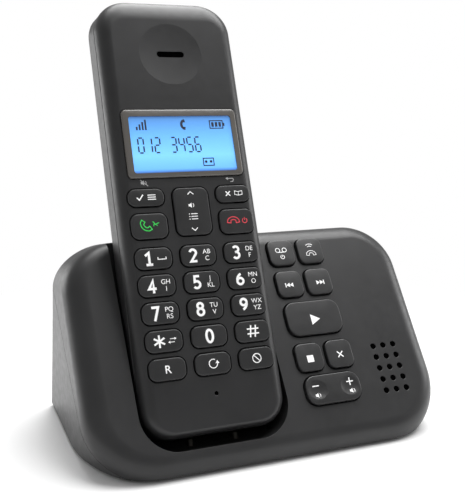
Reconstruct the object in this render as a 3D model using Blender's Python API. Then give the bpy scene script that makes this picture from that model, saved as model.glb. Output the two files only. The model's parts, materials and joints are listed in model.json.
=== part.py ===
# Cordless telephone: a handset standing in the cradle of its answering machine base.
# Metres, +Z up, +X to the right, +Y away from the person who faces the keys. Z is 0 on the table.

import math

import bmesh
import bpy
from mathutils import Matrix, Vector

# Clearances and the overrun that carries a cutter past a face
GAP = 0.0003
OVERRUN = 0.004
KEY_SIDE_GAP = 0.00035

# Keys of the handset, and the spaces between its features from the lower end up
KEY_WIDTH = 0.0124
KEY_HEIGHT = 0.0071
KEY_COLUMN_SPACE = 0.0031
KEY_ROW_SPACE = 0.00202
KEY_CORNER = 0.0026
KEY_PROUD = 0.0008
KEY_TRAVEL = 0.0006
KEY_EDGE = 0.0004
KEY_MARGIN = 0.0033
FLANGE_WIDTH = 0.0004
FLANGE_THICK = 0.0008
MIC_UP = 0.0129
MIC_TO_KEYS = 0.00605
CALL_KEY_SPACE = 0.00312
CALL_KEY_HEIGHT = 0.0086
MENU_KEY_SPACE = 0.00255
MENU_KEY_HEIGHT = 0.006
NAV_RISE = 0.00435
NAV_WIDTH = 0.0126
NAV_HEIGHT = 0.0166
ROCKER_EAR_WIDTH = 0.003
LENS_SPACE = 0.003775
EAR_SPACE = 0.009425
TOP_SPACE = 0.0103

# Display, earpiece and microphone of the handset
LENS_SIDE_SPACE = 0.0043
LENS_HEIGHT = 0.02435
LENS_CORNER = 0.0018
LENS_PROUD = 0.001
LENS_THICK = 0.0016
LENS_FRAME_SIDE = 0.0022
LENS_FRAME_TOP = 0.0026
LENS_FRAME_BOTTOM = 0.001575
PANEL_MARGIN = 0.0015
PANEL_THICK = 0.0023
EAR_SLOT_WIDTH = 0.010
EAR_SLOT_HEIGHT = 0.0022
SLOT_ROUND_SHARE = 0.45
DISH_RADIUS = 0.01145
DISH_DEPTH = 0.0005
EARPIECE_RADIUS = 0.0075
EARPIECE_THICK = 0.004
MIC_HOLE_RADIUS = 0.0007
MIC_RADIUS = 0.003

# Handset: overall form
HANDSET_TILT_DEG = 22.4
HANDSET_WALL = 0.0018
TOP_CORNER = 0.012
BACK_TOP_CORNER = 0.009
BOTTOM_CORNER = 0.0095
FRONT_SIDE_ROUND = 0.0048
FRONT_TOP_ROUND = 0.009
FRONT_BOTTOM_ROUND = 0.0026
BACK_SIDE_ROUND = 0.0044
BACK_TOP_ROUND = 0.0042
BACK_END_ROUND = 0.008

# Inside the handset
MAT_THICK = 0.0008
MAT_SIDE_SPACE = 0.00375
BOARD_THICK = 0.001
BOARD_SIDE_SPACE = 0.008
BOARD_EAR_SPACE = 0.0028
BOARD_BACK_SPACE = 0.0006
BOARD_SCREW_SPACE = 0.0016
TONGUE_SIDE_SPACE = 0.0021
TONGUE_END_SPACE = 0.0014
SHIELD_SIZE = 0.018
SHIELD_UP = 0.052
SHIELD_THICK = 0.003
CELL_RADIUS = 0.00525
CELL_LENGTH = 0.0445
CELL_NUB_RADIUS = 0.0019
CELL_NUB_LENGTH = 0.0008
CELL_SPACING = 0.0108
CELL_SPACE = 0.0014
BAY_WALL = 0.0012
BAY_END_SPACE = 0.0018
DOOR_SPACE = 0.004
DOOR_LIP = 0.002
DOOR_THICK = 0.0018
DOOR_CORNER = 0.003
GRIP_COUNT = 3
GRIP_PITCH = 0.002
GRIP_LENGTH = 0.012
GRIP_DEPTH = 0.0005
GRIP_WIDTH = 0.0008
CONTACT_PLATE_SIZE = 0.008
RINGER_TOP_SPACE = 0.0078
RINGER_RADIUS = 0.0058
RINGER_THICK = 0.0034
RINGER_SLOT_COUNT = 3
RINGER_SLOT_PITCH = 0.0026
RINGER_SLOT_LENGTH = 0.007
RINGER_SLOT_WIDTH = 0.001
SCREW_BITE = 0.003
HANDSET_SCREW_EDGE_SPACE = 0.0085
HANDSET_SCREW_UP = 0.0115
HANDSET_BOSS_RADIUS = 0.0024
SCREW_SHANK_RADIUS = 0.001
SCREW_HEAD_RADIUS = 0.0019
SCREW_HEAD_THICK = 0.0014
SCREW_SINK = 0.003
PAD_ACROSS = 0.008
PAD_WIDTH = 0.004
PAD_LENGTH = 0.0052
PAD_THICK = 0.0006
PAD_START = 0.0078
PAD_STEM = 0.0016
PAD_STRIP_THICK = 0.0008

# Where the handset stands in the cradle
DOCK_UP_FACE = 0.0119
DOCK_LIFT = 0.00316
CRADLE_SIDE_GAP = 0.001
CRADLE_BACK_GAP = 0.0006
CRADLE_END_GAP = 0.00375
CRADLE_CORNER = 0.0125
CRADLE_WALL = 0.0018

# Keys of the base, and the spaces between them from the lower edge up
BASE_KEY_PROUD = 0.0014
BASE_KEY_TRAVEL = 0.0008
BASE_KEY_SIZE = 0.0102
BASE_KEY_CORNER = 0.0027
BASE_KEY_SPACE = 0.0017
VOLUME_EDGE_SPACE = 0.01575
VOLUME_WIDTH = 0.0211
VOLUME_HEIGHT = 0.0103
STOP_SPACE = 0.00175
PLAY_SPACE = 0.003
PLAY_WIDTH = 0.0217
PLAY_HEIGHT = 0.0128
PLAY_CORNER = 0.004
SKIP_SPACE = 0.0023
ANSWER_SPACE = 0.0025
TOP_SHOULDER = 0.0073
DIMPLE_RADIUS = 0.0036
DIMPLE_DEPTH = 0.0005
BOWL_SHARES = (0.1, 0.6, 0.85, 1.25)

# Loudspeaker of the base
SPEAKER_RADIUS = 0.0115
SPEAKER_THICK = 0.0035
MAGNET_RADIUS = 0.0065
MAGNET_THICK = 0.003
SPEAKER_RING_WALL = 0.0012
SPEAKER_RING_HEIGHT = 0.003
SPEAKER_LOW_SPACE = 0.0128
HOLE_RADIUS = 0.0011
HOLE_PITCH = 0.00417
HOLE_COLUMNS = 3
HOLE_ROWS = 5

# Base: the spaces across its face from left to right, and its overall form
LEFT_SHOULDER = 0.018
KEYS_SHOULDER = 0.005
SPEAKER_SPACE = 0.00135
RIGHT_SHOULDER = 0.00595
FACE_START = 0.0034
FACE_TILT_DEG = 36.8
LOWER_CORNER = 0.024
UPPER_CORNER = 0.0195
REAR_CORNER = 0.004
FACE_ROUND = 0.008
TOP_FALL_DEG = 12.0
REAR_DRAW_IN = 0.0052
REAR_LEAN_DEG = 17.2
FOOT_HEIGHT = 0.0012
BASE_WALL = 0.0022
BASE_EDGE_BEVEL = 0.0012
SEAM_START = 0.0075
SEAM_RISE_DEG = 40.0

# Inside the base
BASE_MAT_THICK = 0.0008
BASE_MAT_MARGIN = 0.0005
BASE_BOARD_THICK = 0.0016
BASE_BOARD_RIGHT_SPACE = 0.01525
BASE_BOARD_LEFT_SPACE = 0.00295
BASE_BOARD_STEP_SPACE = 0.0008
BASE_BOARD_POST_SPACE = 0.0023
BASE_BOARD_TOP_SPACE = 0.0062
CAN_SIZE = 0.016
CAN_THICK = 0.003
POST_RADIUS = 0.0018
PIN_RADIUS = 0.0011
PIN_TRAVEL = 0.0005
LINE_BOARD_HEIGHT = 0.0058
LINE_BOARD_THICK = 0.0016
LINE_BOARD_REACH = 0.0405
LINE_BOARD_BACK_GAP = 0.0032
LINE_BOARD_LEFT_SPACE = 0.0125
LINE_BOARD_RIGHT_SPACE = 0.011
CHOKE_RADIUS = 0.005
CHOKE_HEIGHT = 0.009
LINE_MOUTH_WIDTH = 0.0083
POWER_MOUTH_WIDTH = 0.0066
MOUTH_HEIGHT = 0.0078
MOUTH_DEPTH = 0.0105
SOCKET_WALL = 0.0016
SOCKET_SPACE = 0.00805
SOCKET_SIDE_SPACE = 0.02725
BASE_SCREW_RADIUS = 0.0013
BASE_SCREW_HEAD_RADIUS = 0.0025
BASE_SCREW_HEAD_THICK = 0.0016
BASE_SCREW_LENGTH = 0.012
BASE_SCREW_SIDE_SPACE = 0.00825
BASE_SCREW_BACK = 0.042
BASE_BOSS_RADIUS = 0.0027
CUP_RADIUS = 0.004
CUP_HEIGHT = 0.0034
FOOT_RADIUS = 0.0045
FOOT_SINK = 0.0008
FRONT_FOOT_SIDE_SPACE = 0.01925
FRONT_FOOT_BACK = 0.0175
REAR_FOOT_SIDE_SPACE = 0.01125
REAR_FOOT_SPACE = 0.009

# How finely curves are cut
FACE_CORNER_STEPS = 8
FACE_ROUND_STEPS = 4
HANDSET_CORNER_STEPS = 7
HANDSET_ROUND_STEPS = 4
KEY_CORNER_STEPS = 3
KEY_EDGE_STEPS = 2
SMALL_ROUND_SIDES = 14
LARGE_ROUND_SIDES = 28

# Colours, roughness and metal value of each finish
BLACK_MATT = ((0.035, 0.035, 0.037, 1), 0.5, 0)
BLACK_SHINY = ((0.03, 0.03, 0.032, 1), 0.25, 0)
KEY_BLACK = ((0.04, 0.04, 0.042, 1), 0.45, 0)
LENS_GREY = ((0.1, 0.095, 0.09, 1), 0.2, 0)
DISPLAY_BLUE = ((0.12, 0.36, 0.85, 1), 0.3, 0)
BOARD_GREEN = ((0.03, 0.18, 0.07, 1), 0.5, 0)
RUBBER_GREY = ((0.2, 0.2, 0.21, 1), 0.8, 0)
RUBBER_BLACK = ((0.02, 0.02, 0.02, 1), 0.85, 0)
STEEL = ((0.6, 0.6, 0.62, 1), 0.3, 1)
GOLD = ((0.83, 0.62, 0.25, 1), 0.3, 1)
CELL_GREEN = ((0.1, 0.4, 0.2, 1), 0.4, 0)
SPEAKER_BLACK = ((0.05, 0.05, 0.05, 1), 0.6, 0)

# Values worked out from the sizes above: the handset, from its lower end up and from its front back
KEY_PITCH = KEY_WIDTH + KEY_COLUMN_SPACE
KEY_ROW_PITCH = KEY_HEIGHT + KEY_ROW_SPACE
HANDSET_WIDTH = 2 * (KEY_PITCH + KEY_WIDTH / 2 + KEY_MARGIN)
LAST_KEY_ROW = MIC_UP + MIC_TO_KEYS + KEY_HEIGHT / 2
FIRST_KEY_ROW = LAST_KEY_ROW + 4 * KEY_ROW_PITCH
CALL_KEY_UP = FIRST_KEY_ROW + KEY_HEIGHT / 2 + CALL_KEY_SPACE + CALL_KEY_HEIGHT / 2
MENU_KEY_UP = CALL_KEY_UP + CALL_KEY_HEIGHT / 2 + MENU_KEY_SPACE + MENU_KEY_HEIGHT / 2
NAV_UP = CALL_KEY_UP + NAV_RISE
LENS_UP = MENU_KEY_UP + MENU_KEY_HEIGHT / 2 + LENS_SPACE + LENS_HEIGHT / 2
EAR_UP = LENS_UP + LENS_HEIGHT / 2 + EAR_SPACE + DISH_RADIUS
HANDSET_LENGTH = EAR_UP + DISH_RADIUS + TOP_SPACE
LENS_WIDTH = HANDSET_WIDTH - 2 * LENS_SIDE_SPACE
WINDOW_WIDTH = LENS_WIDTH - 2 * LENS_FRAME_SIDE
WINDOW_HEIGHT = LENS_HEIGHT - LENS_FRAME_TOP - LENS_FRAME_BOTTOM
WINDOW_UP = LENS_UP + (LENS_FRAME_BOTTOM - LENS_FRAME_TOP) / 2
FLANGE_TOP = -HANDSET_WALL - GAP
MAT_TOP = FLANGE_TOP - FLANGE_THICK - KEY_TRAVEL - GAP
BOARD_FRONT = MAT_TOP - MAT_THICK - GAP
BOARD_BACK = BOARD_FRONT - BOARD_THICK
PARTING_DEPTH = BOARD_BACK_SPACE - BOARD_BACK
BAY_FLOOR = -PARTING_DEPTH - GAP - BAY_WALL
HANDSET_THICK = GAP + 2 * CELL_RADIUS + CELL_SPACE + DOOR_THICK - BAY_FLOOR
BAY_WIDTH = CELL_SPACING + 2 * CELL_RADIUS + 2 * GAP
BAY_LENGTH = CELL_LENGTH + CELL_NUB_LENGTH + 2 * BAY_END_SPACE
RINGER_UP = HANDSET_LENGTH - RINGER_TOP_SPACE - RINGER_RADIUS
DOOR_WIDTH = BAY_WIDTH + 2 * DOOR_LIP
DOOR_LENGTH = BAY_LENGTH + 2 * DOOR_LIP
DOOR_MIDDLE = RINGER_UP - RINGER_RADIUS - DOOR_SPACE - DOOR_LENGTH / 2
BAY_LOW = DOOR_MIDDLE - DOOR_LENGTH / 2 + DOOR_LIP
HANDSET_SCREW_ACROSS = HANDSET_WIDTH / 2 - HANDSET_SCREW_EDGE_SPACE
BOARD_WIDTH = HANDSET_WIDTH - 2 * BOARD_SIDE_SPACE
BOARD_TOP = EAR_UP - EARPIECE_RADIUS - BOARD_EAR_SPACE
BOARD_BOTTOM = HANDSET_SCREW_UP + HANDSET_BOSS_RADIUS + BOARD_SCREW_SPACE
TONGUE_WIDTH = 2 * (HANDSET_SCREW_ACROSS - HANDSET_BOSS_RADIUS - TONGUE_SIDE_SPACE)
TONGUE_BOTTOM = MIC_UP - MIC_RADIUS - TONGUE_END_SPACE
MAT_WIDTH = HANDSET_WIDTH - 2 * MAT_SIDE_SPACE
PIN_DEPTH_IN = PAD_START + PAD_LENGTH / 2

# Values worked out from the sizes above: the base, from left to right and from the lower edge up
SPEAKER_RING_OUTER = SPEAKER_RADIUS + GAP + SPEAKER_RING_WALL
CRADLE_SIDE = HANDSET_WIDTH / 2 + CRADLE_SIDE_GAP + CRADLE_WALL
KEYS_FROM_CRADLE = CRADLE_SIDE + KEYS_SHOULDER + PLAY_WIDTH / 2
SPEAKER_FROM_KEYS = VOLUME_WIDTH / 2 + SPEAKER_SPACE + SPEAKER_RING_OUTER
HANDSET_FROM_LEFT = LEFT_SHOULDER + HANDSET_WIDTH / 2
SPEAKER_FROM_RIGHT = SPEAKER_RING_OUTER + RIGHT_SHOULDER
BASE_WIDTH = HANDSET_FROM_LEFT + KEYS_FROM_CRADLE + SPEAKER_FROM_KEYS + SPEAKER_FROM_RIGHT
HANDSET_SHIFT = HANDSET_FROM_LEFT - BASE_WIDTH / 2
BASE_KEYS_CENTRE = HANDSET_SHIFT + KEYS_FROM_CRADLE
SPEAKER_ACROSS = BASE_KEYS_CENTRE + SPEAKER_FROM_KEYS
BASE_KEY_PITCH = BASE_KEY_SIZE + BASE_KEY_SPACE
PLAY_COLUMNS = (BASE_KEYS_CENTRE - BASE_KEY_PITCH / 2, BASE_KEYS_CENTRE + BASE_KEY_PITCH / 2)
VOLUME_ROW = FACE_START + VOLUME_EDGE_SPACE + VOLUME_HEIGHT / 2
STOP_ROW = VOLUME_ROW + (VOLUME_HEIGHT + BASE_KEY_SIZE) / 2 + STOP_SPACE
PLAY_ROW = STOP_ROW + (BASE_KEY_SIZE + PLAY_HEIGHT) / 2 + PLAY_SPACE
SKIP_ROW = PLAY_ROW + (PLAY_HEIGHT + BASE_KEY_SIZE) / 2 + SKIP_SPACE
ANSWER_ROW = SKIP_ROW + BASE_KEY_SIZE + ANSWER_SPACE
FACE_END = ANSWER_ROW + BASE_KEY_SIZE / 2 + TOP_SHOULDER
BASE_DEPTH = FACE_END - REAR_DRAW_IN
SPEAKER_UP = FACE_START + SPEAKER_LOW_SPACE + SPEAKER_RING_OUTER
BASE_FLANGE_TOP = -BASE_WALL - GAP
BASE_MAT_TOP = BASE_FLANGE_TOP - FLANGE_THICK - BASE_KEY_TRAVEL - GAP
BASE_BOARD_FRONT = BASE_MAT_TOP - BASE_MAT_THICK - GAP
BASE_BOARD_BACK = BASE_BOARD_FRONT - BASE_BOARD_THICK
BASE_BOARD_RIGHT = BASE_WIDTH / 2 - BASE_BOARD_RIGHT_SPACE
BASE_BOARD_LEFT = HANDSET_SHIFT + CRADLE_SIDE + BASE_BOARD_LEFT_SPACE
BASE_BOARD_STEP = SPEAKER_ACROSS - SPEAKER_RING_OUTER - BASE_BOARD_STEP_SPACE
BASE_BOARD_SPLIT = SPEAKER_UP + SPEAKER_RING_OUTER + BASE_BOARD_POST_SPACE
BASE_BOARD_TOP = FACE_END - BASE_BOARD_TOP_SPACE
ROCKER_LOW = VOLUME_ROW - VOLUME_HEIGHT / 2 - KEY_SIDE_GAP - FLANGE_WIDTH
BASE_BOARD_BOTTOM = ROCKER_LOW - BASE_BOARD_POST_SPACE - 2 * POST_RADIUS
TRAY_FLOOR = FOOT_HEIGHT + BASE_WALL
CUP_TOP = TRAY_FLOOR + CUP_HEIGHT
LINE_BOARD_TOP = LINE_BOARD_HEIGHT + LINE_BOARD_THICK
SOCKET_LOW = LINE_BOARD_TOP + GAP
LINE_SOCKET_ACROSS = BASE_WIDTH / 2 - SOCKET_SIDE_SPACE
SOCKET_PITCH = (LINE_MOUTH_WIDTH + POWER_MOUTH_WIDTH) / 2 + SOCKET_SPACE
POWER_SOCKET_ACROSS = LINE_SOCKET_ACROSS - SOCKET_PITCH
LINE_BOARD_LEFT = POWER_SOCKET_ACROSS - LINE_BOARD_LEFT_SPACE
LINE_BOARD_RIGHT = LINE_SOCKET_ACROSS + LINE_BOARD_RIGHT_SPACE
LINE_BOARD_FRONT = BASE_DEPTH - LINE_BOARD_REACH
BASE_SCREW_ACROSS = BASE_WIDTH / 2 - BASE_SCREW_SIDE_SPACE
FRONT_FOOT_ACROSS = BASE_WIDTH / 2 - FRONT_FOOT_SIDE_SPACE
REAR_FOOT_ACROSS = BASE_WIDTH / 2 - REAR_FOOT_SIDE_SPACE
REAR_FOOT_BACK = BASE_DEPTH - REAR_FOOT_SPACE
FAR = BASE_WIDTH + HANDSET_LENGTH
ORIGIN_BACK = 0.0454757

# Angles, and the frames of the base's face and of the handset
FACE_TILT = math.radians(FACE_TILT_DEG)
TOP_LEAN = math.radians(FACE_TILT_DEG - TOP_FALL_DEG)
HANDSET_TILT = math.radians(HANDSET_TILT_DEG)
REAR_LEAN = math.radians(REAR_LEAN_DEG)
SEAM_RISE = math.radians(SEAM_RISE_DEG)


def frame_matrix(tilt, origin):
    """A frame whose X is to the right, Y up the tilted plane and Z out of it toward the person."""
    return Matrix.Translation(origin) @ Matrix.Rotation(math.pi / 2 - tilt, 4, "X")


FACE = frame_matrix(FACE_TILT, Vector((0, 0, 0)))
CROSSING = FACE @ Vector((HANDSET_SHIFT, DOCK_UP_FACE, 0))
HAND = frame_matrix(
    HANDSET_TILT,
    CROSSING + DOCK_LIFT * Vector((0, math.sin(HANDSET_TILT), math.cos(HANDSET_TILT))),
)
WORLD = Matrix.Identity(4)
LOWEST_ROUND = HAND @ Vector((0, BACK_END_ROUND, BACK_END_ROUND - HANDSET_THICK))
CRADLE_FLOOR = LOWEST_ROUND.z - BACK_END_ROUND - GAP


# Mesh helpers

def remove_everything():
    for existing in list(bpy.data.objects):
        bpy.data.objects.remove(existing, do_unlink=True)


def rounded(left, right, bottom, top, radii, steps):
    """Outline with an arc at each corner: lower right, upper right, upper left, lower left."""
    points = []
    signs = ((1, -1), (1, 1), (-1, 1), (-1, -1))
    for turn, ((sx, sy), radius) in enumerate(zip(signs, radii)):
        centre_x = (right if sx > 0 else left) - sx * radius
        centre_y = (top if sy > 0 else bottom) - sy * radius
        for step in range(steps + 1):
            angle = math.radians(90 * (turn - 1 + step / steps))
            points.append((centre_x + radius * math.cos(angle), centre_y + radius * math.sin(angle)))
    return points


def centred(width, height, radius, steps):
    return rounded(-width / 2, width / 2, -height / 2, height / 2, (radius,) * 4, steps)


def circle(radius, sides):
    turns = [2 * math.pi * side / sides for side in range(sides)]
    return [(radius * math.cos(turn), radius * math.sin(turn)) for turn in turns]


def place(outline, height, shift=(0, 0)):
    return [(x + shift[0], y + shift[1], height) for x, y in outline]


def loft(rings, matrix=WORLD):
    """A closed solid through rings of points, from the lowest ring to the highest."""
    shape = bmesh.new()
    layers = [[shape.verts.new(point) for point in ring] for ring in rings]
    for low, high in zip(layers, layers[1:]):
        for index in range(len(low)):
            after = (index + 1) % len(low)
            shape.faces.new((low[index], low[after], high[after], high[index]))
    shape.faces.new(tuple(reversed(layers[0])))
    shape.faces.new(tuple(layers[-1]))
    mesh = bpy.data.meshes.new("solid")
    shape.to_mesh(mesh)
    shape.free()
    solid = bpy.data.objects.new("solid", mesh)
    bpy.context.collection.objects.link(solid)
    solid.matrix_world = matrix
    return solid


def prism(outline, low, high, matrix=WORLD, shift=(0, 0)):
    return loft([place(outline, low, shift), place(outline, high, shift)], matrix)


def block(left, right, front, back, low, high, matrix=WORLD):
    outline = [(right, front), (right, back), (left, back), (left, front)]
    return prism(outline, low, high, matrix)


def post(radius, low, high, matrix=WORLD, shift=(0, 0), sides=SMALL_ROUND_SIDES):
    return prism(circle(radius, sides), low, high, matrix, shift)


def side_profile(points, half_width):
    """A solid with the given outline in the YZ plane, drawn across the whole width."""
    turned = Matrix(((0, 0, 1, 0), (1, 0, 0, 0), (0, 1, 0, 0), (0, 0, 0, 1)))
    return prism(points, -half_width, half_width, turned)


def applied(thing):
    """Bakes the modifiers of an object into its mesh."""
    bpy.context.view_layer.update()
    graph = bpy.context.evaluated_depsgraph_get()
    baked = bpy.data.meshes.new_from_object(thing.evaluated_get(graph))
    thing.modifiers.clear()
    thing.data = baked
    return thing


def combine(target, tools, operation):
    for tool in tools:
        modifier = target.modifiers.new("combine", "BOOLEAN")
        modifier.operation = operation
        modifier.object = tool
        modifier.solver = "EXACT"
        applied(target)
        bpy.data.objects.remove(tool, do_unlink=True)
    return target


def cut(target, *tools):
    return combine(target, tools, "DIFFERENCE")


def join(target, *tools):
    return combine(target, tools, "UNION")


def common(target, *tools):
    return combine(target, tools, "INTERSECT")


def finish_material(name, finish):
    colour, roughness, metal = finish
    material = bpy.data.materials.new(name)
    material.use_nodes = True
    shader = material.node_tree.nodes["Principled BSDF"]
    shader.inputs["Base Color"].default_value = colour
    shader.inputs["Roughness"].default_value = roughness
    shader.inputs["Metallic"].default_value = metal
    material.diffuse_color = colour
    return material


def node(thing, name, finish):
    """Names a finished solid, and gives it its own material and smooth shading."""
    thing.name = name
    thing.data.name = name
    thing.data.materials.clear()
    thing.data.materials.append(finish_material(name, finish))
    thing.data.shade_smooth()
    thing.data.set_sharp_from_angle(angle=math.radians(40))
    return thing


# Base: the body that both halves are cut from

def base_ring(inset, shrink, height):
    """The base's outline at one height, drawn in by both amounts, with its top on the falling top wall."""
    margin = inset + shrink
    edge = FACE_ROUND - inset
    turn = edge * math.sin(TOP_LEAN) - FACE_ROUND
    turn_shrink = edge * (1 - math.cos(TOP_LEAN))
    half = BASE_WIDTH / 2 - margin
    low = FACE_START + margin
    high = FACE_END - margin
    if height < turn:
        high = FACE_END - inset - turn_shrink + (turn - height) * math.tan(TOP_LEAN)
    depth_share = max(0, turn - height) / (turn + BASE_DEPTH)
    upper = UPPER_CORNER - margin - (UPPER_CORNER - REAR_CORNER) * depth_share
    radii = (LOWER_CORNER - margin, upper, upper, LOWER_CORNER - margin)
    return place(rounded(-half, half, low, high, radii, FACE_CORNER_STEPS), height)


def base_prism(inset):
    edge = FACE_ROUND - inset
    rings = [base_ring(inset, 0, -BASE_DEPTH)]
    for step in range(FACE_ROUND_STEPS + 1):
        angle = math.pi / 2 * step / FACE_ROUND_STEPS
        shrink = edge * (1 - math.cos(angle))
        rings.append(base_ring(inset, shrink, edge * math.sin(angle) - FACE_ROUND))
    return loft(rings, FACE)


def rear_at(height):
    return BASE_DEPTH - height * math.tan(REAR_LEAN)


def rear_clip(inset):
    """All that lies above the underside and in front of the leaning rear wall."""
    low = FOOT_HEIGHT + inset
    back = inset / math.cos(REAR_LEAN)
    points = [(-FAR, low), (rear_at(low) - back, low), (rear_at(FAR) - back, FAR), (-FAR, FAR)]
    return side_profile(points, FAR)


def base_solid(inset):
    return common(base_prism(inset), rear_clip(inset))


def softened_base():
    solid = base_solid(0)
    bevel = solid.modifiers.new("edges", "BEVEL")
    bevel.width = BASE_EDGE_BEVEL
    bevel.segments = 2
    bevel.limit_method = "ANGLE"
    bevel.angle_limit = math.radians(30)
    return applied(solid)


def base_shell():
    return cut(softened_base(), base_solid(BASE_WALL))


def seam_side(direction):
    """The half of space on one side of the seam, half a gap away from it."""
    along = Vector((math.cos(SEAM_RISE), math.sin(SEAM_RISE)))
    across = Vector((-math.sin(SEAM_RISE), math.cos(SEAM_RISE))) * direction
    start = Vector((SEAM_START, 0)) + across * (GAP / 2)
    points = [start - along * FAR, start + along * FAR]
    points += [points[1] + across * FAR, points[0] + across * FAR]
    if direction < 0:
        points.reverse()
    return side_profile([tuple(point) for point in points], FAR)


# Base: the cradle that takes the handset

def cradle_prism(margin, floor):
    """The U shaped trough along the handset's axis, above a level floor."""
    half = HANDSET_WIDTH / 2 + CRADLE_SIDE_GAP + margin
    radii = (CRADLE_CORNER + margin,) * 4
    outline = rounded(-half, half, -CRADLE_END_GAP - margin, HANDSET_LENGTH, radii, HANDSET_CORNER_STEPS)
    back = -HANDSET_THICK - CRADLE_BACK_GAP - margin
    trough = prism(outline, back, HANDSET_LENGTH, HAND)
    return common(trough, block(-FAR, FAR, -FAR, FAR, floor, FAR))


def cradle_walls():
    walls = cradle_prism(CRADLE_WALL, CRADLE_FLOOR - CRADLE_WALL)
    return common(walls, base_solid(BASE_WALL / 2))


def along_handset():
    """A frame whose Z runs up the handset's axis, for pins that press on its lower end."""
    return HAND @ Matrix.Rotation(-math.pi / 2, 4, "X")


def contact_pin_holes():
    low = -CRADLE_END_GAP - CRADLE_WALL - OVERRUN
    radius = PIN_RADIUS + GAP
    spots = [(side * PAD_ACROSS, PIN_DEPTH_IN) for side in (-1, 1)]
    return [post(radius, low, 0, along_handset(), spot) for spot in spots]


# Base: openings in the face

def base_keys():
    """Name, place and size of each key on the base's face."""
    left, right = PLAY_COLUMNS
    small = (BASE_KEY_SIZE, BASE_KEY_SIZE, BASE_KEY_CORNER)
    return [
        ("key_answer_on_off", left, ANSWER_ROW, small),
        ("key_find_handset", right, ANSWER_ROW, small),
        ("key_skip_back", left, SKIP_ROW, small),
        ("key_skip_forward", right, SKIP_ROW, small),
        ("key_play", BASE_KEYS_CENTRE, PLAY_ROW, (PLAY_WIDTH, PLAY_HEIGHT, PLAY_CORNER)),
        ("key_stop", left, STOP_ROW, small),
        ("key_delete", right, STOP_ROW, small),
        ("volume_rocker", BASE_KEYS_CENTRE, VOLUME_ROW, (VOLUME_WIDTH, VOLUME_HEIGHT, PLAY_CORNER)),
    ]


def key_hole(x, y, width, height, corner, matrix):
    room = 2 * KEY_SIDE_GAP
    outline = centred(width + room, height + room, corner + KEY_SIDE_GAP, KEY_CORNER_STEPS)
    return prism(outline, -OVERRUN, OVERRUN, matrix, (x, y))


def speaker_holes():
    holes = []
    for column in range(HOLE_COLUMNS):
        for row in range(HOLE_ROWS):
            x = SPEAKER_ACROSS + (column - (HOLE_COLUMNS - 1) / 2) * HOLE_PITCH
            y = SPEAKER_UP + (row - (HOLE_ROWS - 1) / 2) * HOLE_PITCH
            holes.append(post(HOLE_RADIUS, -OVERRUN, OVERRUN, FACE, (x, y), 8))
    return holes


def speaker_ring():
    place_at = (SPEAKER_ACROSS, SPEAKER_UP)
    outer = SPEAKER_RADIUS + GAP + SPEAKER_RING_WALL
    low = -BASE_WALL - SPEAKER_RING_HEIGHT
    ring = post(outer, low, -BASE_WALL / 2, FACE, place_at, LARGE_ROUND_SIDES)
    return cut(ring, post(SPEAKER_RADIUS + GAP, low - OVERRUN, OVERRUN, FACE, place_at, LARGE_ROUND_SIDES))


def board_posts():
    outer = BASE_BOARD_RIGHT - 2 * POST_RADIUS
    spots = (
        (outer, BASE_BOARD_TOP - 2 * POST_RADIUS),
        (outer, BASE_BOARD_SPLIT + 2 * POST_RADIUS),
        (BASE_KEYS_CENTRE, BASE_BOARD_BOTTOM + POST_RADIUS),
    )
    low = BASE_BOARD_FRONT + GAP
    return [post(POST_RADIUS, low, -BASE_WALL / 2, FACE, spot) for spot in spots]


def screw_spots():
    return ((-BASE_SCREW_ACROSS, BASE_SCREW_BACK), (BASE_SCREW_ACROSS, BASE_SCREW_BACK))


def cover_bosses():
    bosses = []
    for spot in screw_spots():
        boss = post(BASE_BOSS_RADIUS, CUP_TOP + GAP, FAR, WORLD, spot)
        bosses.append(common(boss, base_solid(BASE_WALL / 2)))
    return bosses


def screw_bores():
    top = CUP_TOP + BASE_SCREW_LENGTH
    return [post(BASE_SCREW_RADIUS + GAP, CUP_TOP - OVERRUN, top, WORLD, spot) for spot in screw_spots()]


def make_cover():
    cover = common(base_shell(), seam_side(1))
    join(cover, cradle_walls(), speaker_ring(), *board_posts(), *cover_bosses())
    cut(cover, cradle_prism(0, CRADLE_FLOOR), *contact_pin_holes(), *screw_bores())
    holes = [key_hole(x, y, *size, FACE) for _, x, y, size in base_keys()]
    cut(cover, *holes, *speaker_holes())
    return node(cover, "base_cover", BLACK_MATT)


# Base: the lower half and what it carries

def foot_spots():
    return (
        (-FRONT_FOOT_ACROSS, FRONT_FOOT_BACK),
        (FRONT_FOOT_ACROSS, FRONT_FOOT_BACK),
        (-REAR_FOOT_ACROSS, REAR_FOOT_BACK),
        (REAR_FOOT_ACROSS, REAR_FOOT_BACK),
    )


def socket_mouth(across, width, margin):
    """The opening of a socket, which runs out through the rear wall."""
    half = width / 2 + margin
    low = SOCKET_LOW + SOCKET_WALL - margin
    high = low + MOUTH_HEIGHT + 2 * margin
    front = rear_at(SOCKET_LOW) - BASE_WALL - MOUTH_DEPTH
    return block(across - half, across + half, front, FAR, low, high)


def tray_posts():
    front = LINE_BOARD_FRONT + 2 * POST_RADIUS
    back = rear_at(LINE_BOARD_HEIGHT) - BASE_WALL - 4 * POST_RADIUS
    spots = (
        (LINE_BOARD_LEFT + 2 * POST_RADIUS, front),
        (LINE_BOARD_RIGHT - 2 * POST_RADIUS, front),
        ((LINE_BOARD_LEFT + LINE_BOARD_RIGHT) / 2, back),
    )
    low = FOOT_HEIGHT + BASE_WALL / 2
    return [post(POST_RADIUS, low, LINE_BOARD_HEIGHT - GAP, WORLD, spot) for spot in spots]


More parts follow.
